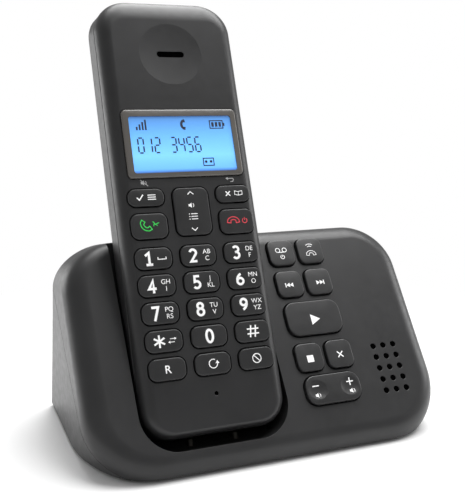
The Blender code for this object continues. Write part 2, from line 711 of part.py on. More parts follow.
def make_tray():
    tray = common(base_shell(), seam_side(-1))
    cups = [post(CUP_RADIUS, FOOT_HEIGHT + BASE_WALL / 2, CUP_TOP, WORLD, spot) for spot in screw_spots()]
    join(tray, *cups, *tray_posts())
    head_top = CUP_TOP - BASE_WALL
    for spot in screw_spots():
        head = post(BASE_SCREW_HEAD_RADIUS + GAP, -OVERRUN, head_top, WORLD, spot)
        shank = post(BASE_SCREW_RADIUS + GAP, -OVERRUN, CUP_TOP + OVERRUN, WORLD, spot)
        cut(tray, head, shank)
    for spot in foot_spots():
        cut(tray, post(FOOT_RADIUS + GAP, -OVERRUN, FOOT_HEIGHT + FOOT_SINK + GAP, WORLD, spot))
    cut(tray, socket_mouth(LINE_SOCKET_ACROSS, LINE_MOUTH_WIDTH, GAP))
    cut(tray, socket_mouth(POWER_SOCKET_ACROSS, POWER_MOUTH_WIDTH, GAP))
    return node(tray, "base_tray", BLACK_SHINY)


def make_feet():
    for number, spot in enumerate(foot_spots(), 1):
        foot = post(FOOT_RADIUS, 0, FOOT_HEIGHT + FOOT_SINK, WORLD, spot)
        node(foot, f"rubber_foot_{number}", RUBBER_BLACK)


def make_base_screws():
    seat = CUP_TOP - BASE_WALL - GAP
    for number, spot in enumerate(screw_spots(), 1):
        screw = post(BASE_SCREW_HEAD_RADIUS, seat - BASE_SCREW_HEAD_THICK, seat, WORLD, spot)
        shank_low = seat - BASE_SCREW_HEAD_THICK / 2
        join(screw, post(BASE_SCREW_RADIUS, shank_low, CUP_TOP + BASE_SCREW_LENGTH - GAP, WORLD, spot))
        node(screw, f"base_screw_{number}", STEEL)


def make_base_board():
    wide = (
        (BASE_BOARD_STEP, BASE_BOARD_BOTTOM),
        (BASE_BOARD_STEP, BASE_BOARD_SPLIT),
        (BASE_BOARD_RIGHT, BASE_BOARD_SPLIT),
        (BASE_BOARD_RIGHT, BASE_BOARD_TOP),
        (BASE_BOARD_LEFT, BASE_BOARD_TOP),
        (BASE_BOARD_LEFT, BASE_BOARD_BOTTOM),
    )
    board = prism(wide, BASE_BOARD_BACK, BASE_BOARD_FRONT, FACE)
    low = BASE_BOARD_BACK - CAN_THICK
    high = BASE_BOARD_BACK + BASE_BOARD_THICK / 2
    for up in (SKIP_ROW, STOP_ROW):
        can = centred(CAN_SIZE, CAN_SIZE, BASE_BOARD_THICK, KEY_CORNER_STEPS)
        join(board, prism(can, low, high, FACE, (BASE_KEYS_CENTRE, up)))
    return node(board, "base_board", BOARD_GREEN)


def make_base_mat():
    half = (BASE_KEY_PITCH + BASE_KEY_SIZE) / 2 + BASE_MAT_MARGIN
    low = VOLUME_ROW - VOLUME_HEIGHT / 2 - BASE_MAT_MARGIN
    high = ANSWER_ROW + BASE_KEY_SIZE / 2 + BASE_MAT_MARGIN
    left = BASE_KEYS_CENTRE - half
    outline = rounded(left, left + 2 * half, low, high, (BASE_KEY_CORNER,) * 4, KEY_CORNER_STEPS)
    mat = prism(outline, BASE_MAT_TOP - BASE_MAT_THICK, BASE_MAT_TOP, FACE)
    return node(mat, "base_key_mat", RUBBER_GREY)


def make_loudspeaker():
    spot = (SPEAKER_ACROSS, SPEAKER_UP)
    top = -BASE_WALL - GAP
    back = top - SPEAKER_THICK
    magnet = circle(MAGNET_RADIUS, LARGE_ROUND_SIDES)
    rim = circle(SPEAKER_RADIUS, LARGE_ROUND_SIDES)
    rings = [
        place(magnet, back - MAGNET_THICK, spot),
        place(magnet, back, spot),
        place(rim, top - SPEAKER_THICK / 2, spot),
        place(rim, top, spot),
    ]
    return node(loft(rings, FACE), "loudspeaker", SPEAKER_BLACK)


def make_line_board():
    front = LINE_BOARD_FRONT
    back = rear_at(LINE_BOARD_TOP) - LINE_BOARD_BACK_GAP
    board = block(LINE_BOARD_LEFT, LINE_BOARD_RIGHT, front, back, LINE_BOARD_HEIGHT, LINE_BOARD_TOP)
    middle = LINE_BOARD_HEIGHT + LINE_BOARD_THICK / 2
    for across in (POWER_SOCKET_ACROSS, LINE_SOCKET_ACROSS):
        spot = (across, front + 2 * CHOKE_RADIUS)
        join(board, post(CHOKE_RADIUS, middle, LINE_BOARD_TOP + CHOKE_HEIGHT, WORLD, spot))
    return node(board, "line_board", BOARD_GREEN)


def make_sockets():
    left = POWER_SOCKET_ACROSS - POWER_MOUTH_WIDTH / 2 - SOCKET_WALL
    right = LINE_SOCKET_ACROSS + LINE_MOUTH_WIDTH / 2 + SOCKET_WALL
    front = rear_at(SOCKET_LOW) - BASE_WALL - MOUTH_DEPTH - SOCKET_WALL
    high = SOCKET_LOW + MOUTH_HEIGHT + 2 * SOCKET_WALL
    body = common(block(left, right, front, FAR, SOCKET_LOW, high), base_solid(BASE_WALL + GAP))
    cut(body, socket_mouth(LINE_SOCKET_ACROSS, LINE_MOUTH_WIDTH, 0))
    cut(body, socket_mouth(POWER_SOCKET_ACROSS, POWER_MOUTH_WIDTH, 0))
    return node(body, "socket_block", BLACK_SHINY)


def make_cradle_pins():
    """Sprung pins that touch the pads in the handset's lower end."""
    start = along_handset() @ Vector((0, PIN_DEPTH_IN, 0))
    room = start.z - TRAY_FLOOR - GAP - PIN_RADIUS * math.sin(HANDSET_TILT)
    low = PIN_TRAVEL - room / math.cos(HANDSET_TILT)
    for side, name in ((-1, "cradle_pin_left"), (1, "cradle_pin_right")):
        centre = Matrix.Translation((side * PAD_ACROSS, PIN_DEPTH_IN, 0))
        narrow = circle(PIN_RADIUS / 2, SMALL_ROUND_SIDES)
        full = circle(PIN_RADIUS, SMALL_ROUND_SIDES)
        rings = [place(full, low), place(full, -GAP - PIN_RADIUS / 2), place(narrow, -GAP)]
        node(loft(rings, along_handset() @ centre), name, GOLD)


# Handset: the body that both halves are cut from

def handset_outline(inset, side, top, bottom, top_corner):
    """The handset's outline, drawn in evenly by the inset and then further at the sides and ends."""
    half = HANDSET_WIDTH / 2 - inset - side
    upper = top_corner - inset - (side + top) / 2
    lower = BOTTOM_CORNER - inset - (side + bottom) / 2
    radii = (lower, upper, upper, lower)
    low = inset + bottom
    high = HANDSET_LENGTH - inset - top
    return rounded(-half, half, low, high, radii, HANDSET_CORNER_STEPS)


def handset_solid(inset):
    rings = []
    for step in reversed(range(HANDSET_ROUND_STEPS + 1)):
        angle = math.pi / 2 * step / HANDSET_ROUND_STEPS
        drop = 1 - math.cos(angle)
        side = (BACK_SIDE_ROUND - inset) * drop
        top = (BACK_TOP_ROUND - inset) * drop
        bottom = (BACK_END_ROUND - inset) * drop
        depth = BACK_END_ROUND - HANDSET_THICK - (BACK_END_ROUND - inset) * math.sin(angle)
        rings.append(place(handset_outline(inset, side, top, bottom, BACK_TOP_CORNER), depth))
    for step in range(HANDSET_ROUND_STEPS + 1):
        angle = math.pi / 2 * step / HANDSET_ROUND_STEPS
        drop = 1 - math.cos(angle)
        side = (FRONT_SIDE_ROUND - inset) * drop
        top = (FRONT_TOP_ROUND - inset) * drop
        bottom = (FRONT_BOTTOM_ROUND - inset) * drop
        depth = (PARTING_DEPTH - inset) * math.sin(angle) - PARTING_DEPTH
        rings.append(place(handset_outline(inset, side, top, bottom, TOP_CORNER), depth))
    return loft(rings, HAND)


def handset_shell():
    return cut(handset_solid(0), handset_solid(HANDSET_WALL))


def parting_side(direction):
    """The half of space in front of the parting line, or behind it for a negative direction."""
    if direction > 0:
        return block(-FAR, FAR, -FAR, FAR, GAP / 2 - PARTING_DEPTH, FAR, HAND)
    return block(-FAR, FAR, -FAR, FAR, -FAR, -GAP / 2 - PARTING_DEPTH, HAND)


def handset_keys():
    """Name, place, width and height of each plain key of the handset."""
    keys = [
        ("key_menu", -KEY_PITCH, MENU_KEY_UP, MENU_KEY_HEIGHT),
        ("key_back", KEY_PITCH, MENU_KEY_UP, MENU_KEY_HEIGHT),
        ("key_call", -KEY_PITCH, CALL_KEY_UP, CALL_KEY_HEIGHT),
        ("key_end", KEY_PITCH, CALL_KEY_UP, CALL_KEY_HEIGHT),
    ]
    rows = (
        ("recall", "redial", "do_not_disturb"),
        ("star", "0", "hash"),
        ("7", "8", "9"),
        ("4", "5", "6"),
        ("1", "2", "3"),
    )
    for row, names in enumerate(rows):
        up = LAST_KEY_ROW + row * KEY_ROW_PITCH
        for column, name in enumerate(names):
            keys.append((f"key_{name}", (column - 1) * KEY_PITCH, up, KEY_HEIGHT))
    return keys


def key_solid(width, height, corner, proud, flange_top, matrix):
    """A key cap with a softened upper edge, from the foot of its flange to its face."""
    low = flange_top - FLANGE_THICK
    rings = [place(centred(width, height, corner, KEY_CORNER_STEPS), low)]
    for step in range(KEY_EDGE_STEPS + 1):
        angle = math.pi / 2 * step / KEY_EDGE_STEPS
        drop = KEY_EDGE * (1 - math.cos(angle))
        outline = centred(width - 2 * drop, height - 2 * drop, corner - drop, KEY_CORNER_STEPS)
        rings.append(place(outline, proud - KEY_EDGE + KEY_EDGE * math.sin(angle)))
    return loft(rings, matrix)


def pressed_key(name, x, y, form, matrix):
    """A key that slides straight in, held under the shell by a flange above and below."""
    width, height, corner, proud, flange_top = form
    own = matrix @ Matrix.Translation((x, y, 0))
    key = key_solid(width, height, corner, proud, flange_top, own)
    half = width / 2 - corner
    reach = height / 2 + KEY_SIDE_GAP + FLANGE_WIDTH
    join(key, block(-half, half, -reach, reach, flange_top - FLANGE_THICK, flange_top, own))
    return node(key, name, KEY_BLACK)


def rocker_key(name, x, y, form, matrix, along_x):
    """A key that rocks on two ears, with its origin on the line between them."""
    width, height, corner, proud, flange_top = form
    pivot = flange_top - FLANGE_THICK / 2
    own = matrix @ Matrix.Translation((x, y, pivot))
    key = key_solid(width, height, corner, proud - pivot, flange_top - pivot, own)
    half = ROCKER_EAR_WIDTH / 2
    reach = (width if along_x else height) / 2 + KEY_SIDE_GAP + FLANGE_WIDTH
    sides = (-reach, reach, -half, half) if along_x else (-half, half, -reach, reach)
    join(key, block(*sides, -FLANGE_THICK / 2, FLANGE_THICK / 2, own))
    return node(key, name, KEY_BLACK)


def bowl(radius, depth, top, matrix, shift, sides):
    """A cutter for a shallow round hollow, which follows its sphere on past the surface."""
    sphere = (radius**2 + depth**2) / (2 * depth)
    rings = []
    for share in BOWL_SHARES:
        reach = radius * share
        down = math.sqrt(sphere**2 - reach**2) - sphere + depth
        rings.append(place(circle(reach, sides), top - down, shift))
    return loft(rings, matrix)


def make_base_keys():
    for name, x, y, size in base_keys():
        form = (*size, BASE_KEY_PROUD, BASE_FLANGE_TOP)
        if name == "volume_rocker":
            rocker = rocker_key(name, x, y, form, FACE, False)
            matrix = rocker.matrix_world.copy()
            top = BASE_KEY_PROUD - BASE_FLANGE_TOP + FLANGE_THICK / 2
            reach = size[0] / 2 - DIMPLE_RADIUS - KEY_EDGE
            for spot in ((-reach, 0), (reach, 0)):
                cut(rocker, bowl(DIMPLE_RADIUS, DIMPLE_DEPTH, top, matrix, spot, SMALL_ROUND_SIDES))
        else:
            pressed_key(name, x, y, form, FACE)


def make_handset_keys():
    for name, x, y, height in handset_keys():
        pressed_key(name, x, y, (KEY_WIDTH, height, KEY_CORNER, KEY_PROUD, FLANGE_TOP), HAND)
    form = (NAV_WIDTH, NAV_HEIGHT, KEY_CORNER, KEY_PROUD, FLANGE_TOP)
    rocker_key("navigation_rocker", 0, NAV_UP, form, HAND, True)


# Handset: the front half and what it carries

def front_openings():
    room = 2 * GAP
    pocket = centred(LENS_WIDTH + room, LENS_HEIGHT + room, LENS_CORNER + GAP, KEY_CORNER_STEPS)
    window = centred(WINDOW_WIDTH, WINDOW_HEIGHT, LENS_CORNER / 2, KEY_CORNER_STEPS)
    slot = centred(EAR_SLOT_WIDTH, EAR_SLOT_HEIGHT, EAR_SLOT_HEIGHT * SLOT_ROUND_SHARE, KEY_CORNER_STEPS)
    openings = [
        prism(pocket, LENS_PROUD - LENS_THICK - GAP, OVERRUN, HAND, (0, LENS_UP)),
        prism(window, -OVERRUN, OVERRUN, HAND, (0, WINDOW_UP)),
        bowl(DISH_RADIUS, DISH_DEPTH, 0, HAND, (0, EAR_UP), LARGE_ROUND_SIDES),
        prism(slot, -OVERRUN, OVERRUN, HAND, (0, EAR_UP)),
        post(MIC_HOLE_RADIUS, -OVERRUN, OVERRUN, HAND, (0, MIC_UP), SMALL_ROUND_SIDES),
        key_hole(0, NAV_UP, NAV_WIDTH, NAV_HEIGHT, KEY_CORNER, HAND),
    ]
    for _, x, y, height in handset_keys():
        openings.append(key_hole(x, y, KEY_WIDTH, height, KEY_CORNER, HAND))
    return openings


def handset_screw_spots():
    return ((-HANDSET_SCREW_ACROSS, HANDSET_SCREW_UP), (HANDSET_SCREW_ACROSS, HANDSET_SCREW_UP))


def make_front():
    front = common(handset_shell(), parting_side(1))
    for spot in handset_screw_spots():
        boss = post(HANDSET_BOSS_RADIUS, GAP / 2 - PARTING_DEPTH, -HANDSET_WALL / 2, HAND, spot)
        join(front, boss)
        bore_top = SCREW_BITE + GAP - PARTING_DEPTH
        cut(front, post(SCREW_SHANK_RADIUS + GAP, -HANDSET_THICK, bore_top, HAND, spot))
    cut(front, *front_openings())
    return node(front, "handset_front", BLACK_MATT)


def make_display():
    outline = centred(LENS_WIDTH, LENS_HEIGHT, LENS_CORNER, KEY_CORNER_STEPS)
    lens = prism(outline, LENS_PROUD - LENS_THICK, LENS_PROUD, HAND, (0, LENS_UP))
    node(lens, "display_lens", LENS_GREY)
    width = WINDOW_WIDTH + 2 * PANEL_MARGIN
    height = WINDOW_HEIGHT + 2 * PANEL_MARGIN
    top = -HANDSET_WALL - GAP
    outline = centred(width, height, PANEL_MARGIN, KEY_CORNER_STEPS)
    panel = prism(outline, top - PANEL_THICK, top, HAND, (0, WINDOW_UP))
    node(panel, "display_panel", DISPLAY_BLUE)


def make_handset_board():
    half = BOARD_WIDTH / 2
    tongue = TONGUE_WIDTH / 2
    outline = [
        (tongue, TONGUE_BOTTOM),
        (tongue, BOARD_BOTTOM),
        (half, BOARD_BOTTOM),
        (half, BOARD_TOP),
        (-half, BOARD_TOP),
        (-half, BOARD_BOTTOM),
        (-tongue, BOARD_BOTTOM),
        (-tongue, TONGUE_BOTTOM),
    ]
    board = prism(outline, BOARD_BACK, BOARD_FRONT, HAND)
    can = centred(SHIELD_SIZE, SHIELD_SIZE, BOARD_THICK, KEY_CORNER_STEPS)
    join(board, prism(can, BOARD_BACK - SHIELD_THICK, BOARD_BACK + BOARD_THICK / 2, HAND, (0, SHIELD_UP)))
    return node(board, "handset_board", BOARD_GREEN)


def make_handset_mat():
    low = LAST_KEY_ROW - KEY_HEIGHT / 2 - FLANGE_WIDTH
    high = MENU_KEY_UP + MENU_KEY_HEIGHT / 2 + FLANGE_WIDTH
    half = MAT_WIDTH / 2
    outline = rounded(-half, half, low, high, (KEY_CORNER,) * 4, KEY_CORNER_STEPS)
    return node(prism(outline, MAT_TOP - MAT_THICK, MAT_TOP, HAND), "handset_key_mat", RUBBER_GREY)


def make_sound_parts():
    top = -HANDSET_WALL - GAP
    earpiece = post(EARPIECE_RADIUS, top - EARPIECE_THICK, top, HAND, (0, EAR_UP), LARGE_ROUND_SIDES)
    node(earpiece, "earpiece", SPEAKER_BLACK)
    microphone = post(MIC_RADIUS, BOARD_FRONT + GAP, top, HAND, (0, MIC_UP))
    node(microphone, "microphone", STEEL)
    back = HANDSET_WALL + GAP - HANDSET_THICK
    ringer = post(RINGER_RADIUS, back, back + RINGER_THICK, HAND, (0, RINGER_UP), LARGE_ROUND_SIDES)
    node(ringer, "ringer", SPEAKER_BLACK)


# Handset: the rear half and what it carries

def bay_block(margin, low, high):
    half = BAY_WIDTH / 2 + margin
    return block(-half, half, BAY_LOW - margin, BAY_LOW + BAY_LENGTH + margin, low, high, HAND)


def door_outline(margin):
    width = DOOR_WIDTH + 2 * margin
    return centred(width, DOOR_LENGTH + 2 * margin, DOOR_CORNER + margin, KEY_CORNER_STEPS)


def door_prism(margin, low, high):
    return prism(door_outline(margin), low, high, HAND, (0, DOOR_MIDDLE))


def screw_seat():
    return SCREW_SINK + SCREW_HEAD_THICK + GAP - HANDSET_THICK


def pad_blocks(side, margin, face):
    """One charging pad and its stem through the wall of the handset's lower end."""
    half = PAD_WIDTH / 2 + margin
    stem = PAD_STEM / 2 + margin
    middle = side * PAD_ACROSS
    low = -PAD_START - PAD_LENGTH - margin
    high = margin - PAD_START
    inner = HANDSET_WALL + GAP + PAD_STRIP_THICK / 2 + margin
    back = -PIN_DEPTH_IN - stem
    pad = block(middle - half, middle + half, face, PAD_THICK + margin, low, high, HAND)
    shaft = block(middle - stem, middle + stem, PAD_THICK / 2, inner, back, stem - PIN_DEPTH_IN, HAND)
    return pad, shaft


def make_rear():
    rear = common(handset_shell(), parting_side(-1))
    skin = HANDSET_WALL / 2 - HANDSET_THICK
    bay = bay_block(BAY_WALL, skin, BAY_FLOOR + BAY_WALL)
    ledge = door_prism(GAP + BAY_WALL, skin, DOOR_THICK + GAP + BAY_WALL - HANDSET_THICK)
    join(rear, bay, ledge)
    for spot in handset_screw_spots():
        join(rear, post(HANDSET_BOSS_RADIUS + BAY_WALL / 2, skin, -PARTING_DEPTH - GAP / 2, HAND, spot))
    cut(rear, bay_block(0, -FAR, BAY_FLOOR))
    cut(rear, door_prism(GAP, -FAR, DOOR_THICK + GAP - HANDSET_THICK))
    for spot in handset_screw_spots():
        cut(rear, post(SCREW_HEAD_RADIUS + GAP, -FAR, screw_seat(), HAND, spot))
        cut(rear, post(SCREW_SHANK_RADIUS + GAP, -FAR, 0, HAND, spot))
    for side in (-1, 1):
        cut(rear, *pad_blocks(side, GAP, -OVERRUN))
    corner = RINGER_SLOT_WIDTH * SLOT_ROUND_SHARE
    for row in range(RINGER_SLOT_COUNT):
        up = RINGER_UP + (row - (RINGER_SLOT_COUNT - 1) / 2) * RINGER_SLOT_PITCH
        slot = centred(RINGER_SLOT_LENGTH, RINGER_SLOT_WIDTH, corner, KEY_CORNER_STEPS)
        cut(rear, prism(slot, -FAR, OVERRUN - HANDSET_THICK, HAND, (0, up)))
    return node(rear, "handset_rear", BLACK_SHINY)


def make_door():
    own = HAND @ Matrix.Translation((0, DOOR_MIDDLE, 0))
    door = prism(door_outline(0), -HANDSET_THICK, DOOR_THICK - HANDSET_THICK, own)
    for row in range(GRIP_COUNT):
        up = DOOR_LENGTH / 2 - DOOR_CORNER - row * GRIP_PITCH
        half = GRIP_LENGTH / 2
        low = up - GRIP_WIDTH
        cut(door, block(-half, half, low, up, -FAR, GRIP_DEPTH - HANDSET_THICK, own))
    return node(door, "battery_door", BLACK_SHINY)


def make_cells():
    depth = CELL_RADIUS + GAP - BAY_FLOOR
    start = BAY_LOW + BAY_END_SPACE
    body = circle(CELL_RADIUS, LARGE_ROUND_SIDES)
    nub = circle(CELL_NUB_RADIUS, LARGE_ROUND_SIDES)
    for side, name in ((-1, "battery_cell_left"), (1, "battery_cell_right")):
        spot = (side * CELL_SPACING / 2, depth)
        low = start if side > 0 else start + CELL_NUB_LENGTH
        high = low + CELL_LENGTH
        rings = [place(body, low, spot), place(body, high, spot)]
        if side > 0:
            rings += [place(nub, high, spot), place(nub, high + CELL_NUB_LENGTH, spot)]
        else:
            rings = [place(nub, low - CELL_NUB_LENGTH, spot), place(nub, low, spot)] + rings
        node(loft(rings, along_handset()), name, CELL_GREEN)


def make_battery_contacts():
    depth = CELL_RADIUS + GAP - BAY_FLOOR
    half = CONTACT_PLATE_SIZE / 2
    thick = BAY_END_SPACE - 2 * GAP
    reach = CELL_SPACING / 2 + half
    high = BAY_LOW + BAY_LENGTH - GAP
    bridge = block(-reach, reach, depth - half, depth + half, high - thick, high, along_handset())
    node(bridge, "battery_bridge", STEEL)
    low = BAY_LOW + GAP
    bar = half / 4
    terminals = block(-reach, reach, depth - bar, depth + bar, low, low + thick / 2, along_handset())
    for side in (-1, 1):
        left = side * CELL_SPACING / 2 - half
        plate = (left, left + 2 * half, depth - half, depth + half, low, low + thick)
        join(terminals, block(*plate, along_handset()))
    node(terminals, "battery_terminals", STEEL)


def make_pads():
    reach = PAD_ACROSS + PAD_WIDTH / 2
    low = HANDSET_WALL + GAP
    back = -PIN_DEPTH_IN - PAD_STEM
    strip = block(-reach, reach, low, low + PAD_STRIP_THICK, back, PAD_STEM - PIN_DEPTH_IN, HAND)
    for side in (-1, 1):
        join(strip, *pad_blocks(side, 0, 0))
    return node(strip, "charge_pads", GOLD)


def make_handset_screws():
    seat = screw_seat() - GAP
    for number, spot in enumerate(handset_screw_spots(), 1):
        screw = post(SCREW_HEAD_RADIUS, seat - SCREW_HEAD_THICK, seat, HAND, spot)
        low = seat - SCREW_HEAD_THICK / 2
        join(screw, post(SCREW_SHANK_RADIUS, low, SCREW_BITE - PARTING_DEPTH, HAND, spot))
        node(screw, f"handset_screw_{number}", STEEL)


def assembly(name, matrix, makers):
    """Makes one assembly, and hangs all its pieces on an empty at the given frame."""
    before = set(bpy.data.objects)
    for maker in makers:
        maker()
    pieces = [thing for thing in bpy.data.objects if thing not in before]
    holder = bpy.data.objects.new(name, None)
    bpy.context.collection.objects.link(holder)
    holder.matrix_world = matrix
    for piece in pieces:
        piece.parent = holder
        piece.matrix_parent_inverse = matrix.inverted()
    return holder


def main():
    remove_everything()
    base_makers = (
        make_cover,
        make_tray,
        make_feet,
        make_base_screws,
        make_base_board,
        make_base_mat,
        make_loudspeaker,
        make_line_board,
        make_sockets,
        make_cradle_pins,
        make_base_keys,
    )
    handset_makers = (
        make_front,
        make_display,
        make_handset_board,
        make_handset_mat,
        make_sound_parts,
        make_rear,
        make_door,
        make_cells,
        make_battery_contacts,
        make_pads,
        make_handset_screws,
        make_handset_keys,
    )
    telephone = bpy.data.objects.new("telephone", None)
    bpy.context.collection.objects.link(telephone)
    for holder in (assembly("base", FACE, base_makers), assembly("handset", HAND, handset_makers)):
        holder.parent = telephone
    telephone.location = (0, -ORIGIN_BACK, 0)


main()
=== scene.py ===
# The looks of a cordless telephone: its handset stands in the cradle of the answering machine base.
# Metres, +Z up, +X to the right, +Y away from the person who faces the keys. Z is 0 on the table.

import json
import math

import bmesh
import bpy
from mathutils import Matrix, Vector
from mathutils.bvhtree import BVHTree


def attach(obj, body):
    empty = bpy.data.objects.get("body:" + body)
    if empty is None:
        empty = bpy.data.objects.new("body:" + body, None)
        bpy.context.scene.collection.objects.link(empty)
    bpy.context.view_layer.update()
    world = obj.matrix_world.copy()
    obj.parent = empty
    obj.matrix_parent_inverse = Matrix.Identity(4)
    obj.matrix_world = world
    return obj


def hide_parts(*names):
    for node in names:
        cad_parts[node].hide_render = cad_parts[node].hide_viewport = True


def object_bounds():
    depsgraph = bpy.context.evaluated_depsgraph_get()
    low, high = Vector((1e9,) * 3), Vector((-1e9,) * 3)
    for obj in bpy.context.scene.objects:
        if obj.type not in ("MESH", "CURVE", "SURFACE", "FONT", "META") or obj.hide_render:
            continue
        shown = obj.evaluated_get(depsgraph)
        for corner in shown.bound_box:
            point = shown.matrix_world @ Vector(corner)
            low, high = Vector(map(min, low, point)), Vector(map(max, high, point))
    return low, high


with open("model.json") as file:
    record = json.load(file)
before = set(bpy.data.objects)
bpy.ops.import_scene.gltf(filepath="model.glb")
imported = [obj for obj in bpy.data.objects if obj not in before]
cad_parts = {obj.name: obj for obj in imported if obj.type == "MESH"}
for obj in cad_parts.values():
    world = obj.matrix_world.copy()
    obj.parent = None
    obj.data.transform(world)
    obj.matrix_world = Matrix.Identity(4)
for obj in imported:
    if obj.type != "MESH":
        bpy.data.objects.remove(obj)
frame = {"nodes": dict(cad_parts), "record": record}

CAD_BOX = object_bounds()
NODES = frame["nodes"]
BODY_OF = {
    name: body
    for body, names in frame["record"]["behaviour"]["bodies"].items()
    for name in names
}

# Frames: the base's face and the handset each lie in a tilted plane
ORIGIN_BACK = 0.0454757
FACE_TILT = math.radians(36.8)
HANDSET_TILT = math.radians(22.4)
HANDSET_START = (-0.02225, 0.0083326 - ORIGIN_BACK, 0.0124503)

# Clearances and the overrun that carries a cutter past a face
GAP = 0.0003
OVERRUN = 0.004
FAR = 0.3
KEY_SIDE_GAP = 0.00035
FLANGE_REACH = 0.00075

# Handset shells
HANDSET_WIDTH = 0.050
HANDSET_LENGTH = 0.15355
HANDSET_THICK = 0.022
PARTING_DEPTH = 0.0065
PARTING_EDGE = 0.00025
HANDSET_WALL = 0.0018
TOP_CORNER = 0.012
BACK_TOP_CORNER = 0.009
BOTTOM_CORNER = 0.0095
FRONT_SIDE_ROUND = 0.0048
FRONT_TOP_ROUND = 0.009
FRONT_BOTTOM_ROUND = 0.0026
BACK_SIDE_ROUND = 0.0044
BACK_TOP_ROUND = 0.0042
BACK_END_ROUND = 0.008
EAR_UP = 0.1318
EAR_SLOT_WIDTH = 0.010
EAR_SLOT_HEIGHT = 0.0022
EAR_SLOT_ROUND = 0.49
SLOT_ROUND = 0.45
DISH_RADIUS = 0.01145
DISH_DEPTH = 0.0005
RIM_MATCH = 0.0001
MIC_UP = 0.0129
MIC_HOLE_RADIUS = 0.0007

# Display and its frame
LENS_CORNER = 0.0018
LENS_EDGE = 0.0006
LENS_CROWN = 0.0002
WINDOW_WIDTH = 0.037
WINDOW_HEIGHT = 0.020175
WINDOW_DOWN = 0.0005125
WINDOW_CORNER = 0.0009
GLASS_SINK = 0.0004
GLASS_THICK = 0.0004
GLASS_GAP = 0.00003

# Key caps and the rims of their holes
KEY_CORNER = 0.0026
KEY_LOW = 0.0019
CAP_EDGE = 0.00045
CAP_CROWN = 0.00014
RIM_ROUND = 0.00022
CROWN_SHARES = (1.0, 0.8, 0.55, 0.25)
BASE_KEY_CORNER = 0.0027
WIDE_KEY_CORNER = 0.004
DIMPLE_RADIUS = 0.0036
DIMPLE_DEPTH = 0.0005
BOWL_SHARES = (0.06, 0.3, 0.5, 0.7, 0.85, 1.0, 1.25)

# Back of the handset
DOOR_MIDDLE = 0.1037
DOOR_WIDTH = 0.0259
DOOR_LENGTH = 0.0529
DOOR_THICK = 0.0018
DOOR_CORNER = 0.003
DOOR_EDGE = 0.0003
BAY_WIDTH = 0.0219
BAY_LENGTH = 0.0489
BAY_LOW = 0.07925
BAY_FLOOR = -0.008
BAY_WALL = 0.0012
GRIP_COUNT = 3
GRIP_PITCH = 0.002
GRIP_LENGTH = 0.012
GRIP_WIDTH = 0.0008
GRIP_DEPTH = 0.0005
RINGER_UP = 0.13995
RINGER_SLOT_COUNT = 3
RINGER_SLOT_PITCH = 0.0026
RINGER_SLOT_LENGTH = 0.007
RINGER_SLOT_WIDTH = 0.001
SCREW_ACROSS = 0.0165
SCREW_UP = 0.0115
SCREW_BOSS_RADIUS = 0.003
SCREW_HEAD_RADIUS = 0.0019
SCREW_SHANK_RADIUS = 0.001
SCREW_SEAT = 0.0047
PAD_ACROSS = 0.008
PAD_WIDTH = 0.004
PAD_LENGTH = 0.0052
PAD_THICK = 0.0006
PAD_START = 0.0078
PAD_STEM = 0.0016
PIN_DEPTH_IN = 0.0104
PIN_RADIUS = 0.0011

# Base
BASE_WIDTH = 0.1305
BASE_DEPTH = 0.0845
FACE_START = 0.0034
FACE_END = 0.0897
LOWER_CORNER = 0.024
UPPER_CORNER = 0.0195
REAR_CORNER = 0.004
FACE_ROUND = 0.008
TOP_LEAN = math.radians(36.8 - 12)
REAR_LEAN = math.radians(17.2)
FOOT_HEIGHT = 0.0012
FOOT_RADIUS = 0.0045
FOOT_SINK = 0.0008
BASE_WALL = 0.0022
BASE_EDGE = 0.0012
SEAM_START = 0.0075
SEAM_RISE = math.radians(40)
CRADLE_SIDE_GAP = 0.001
CRADLE_BACK_GAP = 0.0006
CRADLE_END_GAP = 0.00375
CRADLE_CORNER = 0.0125
CRADLE_WALL = 0.0018
CRADLE_RIM = 0.0004
SPEAKER_HOLE_RADIUS = 0.0011
SPEAKER_HOLE_PITCH = 0.00417
SPEAKER_COLUMNS = 3
SPEAKER_ROWS = 5
CUP_RADIUS = 0.004
CUP_TOP = 0.0068
BASE_SCREW_SPOTS = ((-0.057, 0.042), (0.057, 0.042))
BASE_SCREW_HEAD_RADIUS = 0.0025
BASE_SCREW_RADIUS = 0.0013
FOOT_SPOTS = ((-0.046, 0.0175), (0.046, 0.0175), (-0.054, 0.0755), (0.054, 0.0755))
SOCKET_LOW = 0.0077
SOCKET_WALL = 0.0016
MOUTH_HEIGHT = 0.0078
MOUTH_DEPTH = 0.0105
MOUTHS = ((0.038, 0.0083), (0.0225, 0.0066))

# Prints
MM = 0.001
LINING_GAP = 0.00004
LINING_DEEP = 0.0014
LINING_SINK = 0.00025
PRINT_LIFT = 0.00003
PRINT_CUT = 0.0009
CAPITAL_SHARE = 0.69
FACE_MARK_UP = 0.0052
SEGMENTS = {
    " ": "",
    "0": "abcdef",
    "1": "bc",
    "2": "abged",
    "3": "abgcd",
    "4": "fgbc",
    "5": "afgcd",
    "6": "afgedc",
}

# How finishes vary
NOISE_DETAIL = 3.0
NOISE_LOW = 0.3
NOISE_HIGH = 0.7
GLOSS_PATCHES = 5
PLASTIC_SHINE = 0.42
DISPLAY_GLOW = 0.55
DISPLAY_STOPS = (
    (0.0, (0.03, 0.1, 0.36)),
    (0.06, (0.12, 0.38, 0.92)),
    (0.3, (0.17, 0.5, 1.0)),
    (0.62, (0.12, 0.38, 0.85)),
    (0.95, (0.075, 0.235, 0.56)),
    (1.0, (0.05, 0.15, 0.4)),
)
WHITE = (1, 1, 1, 1)

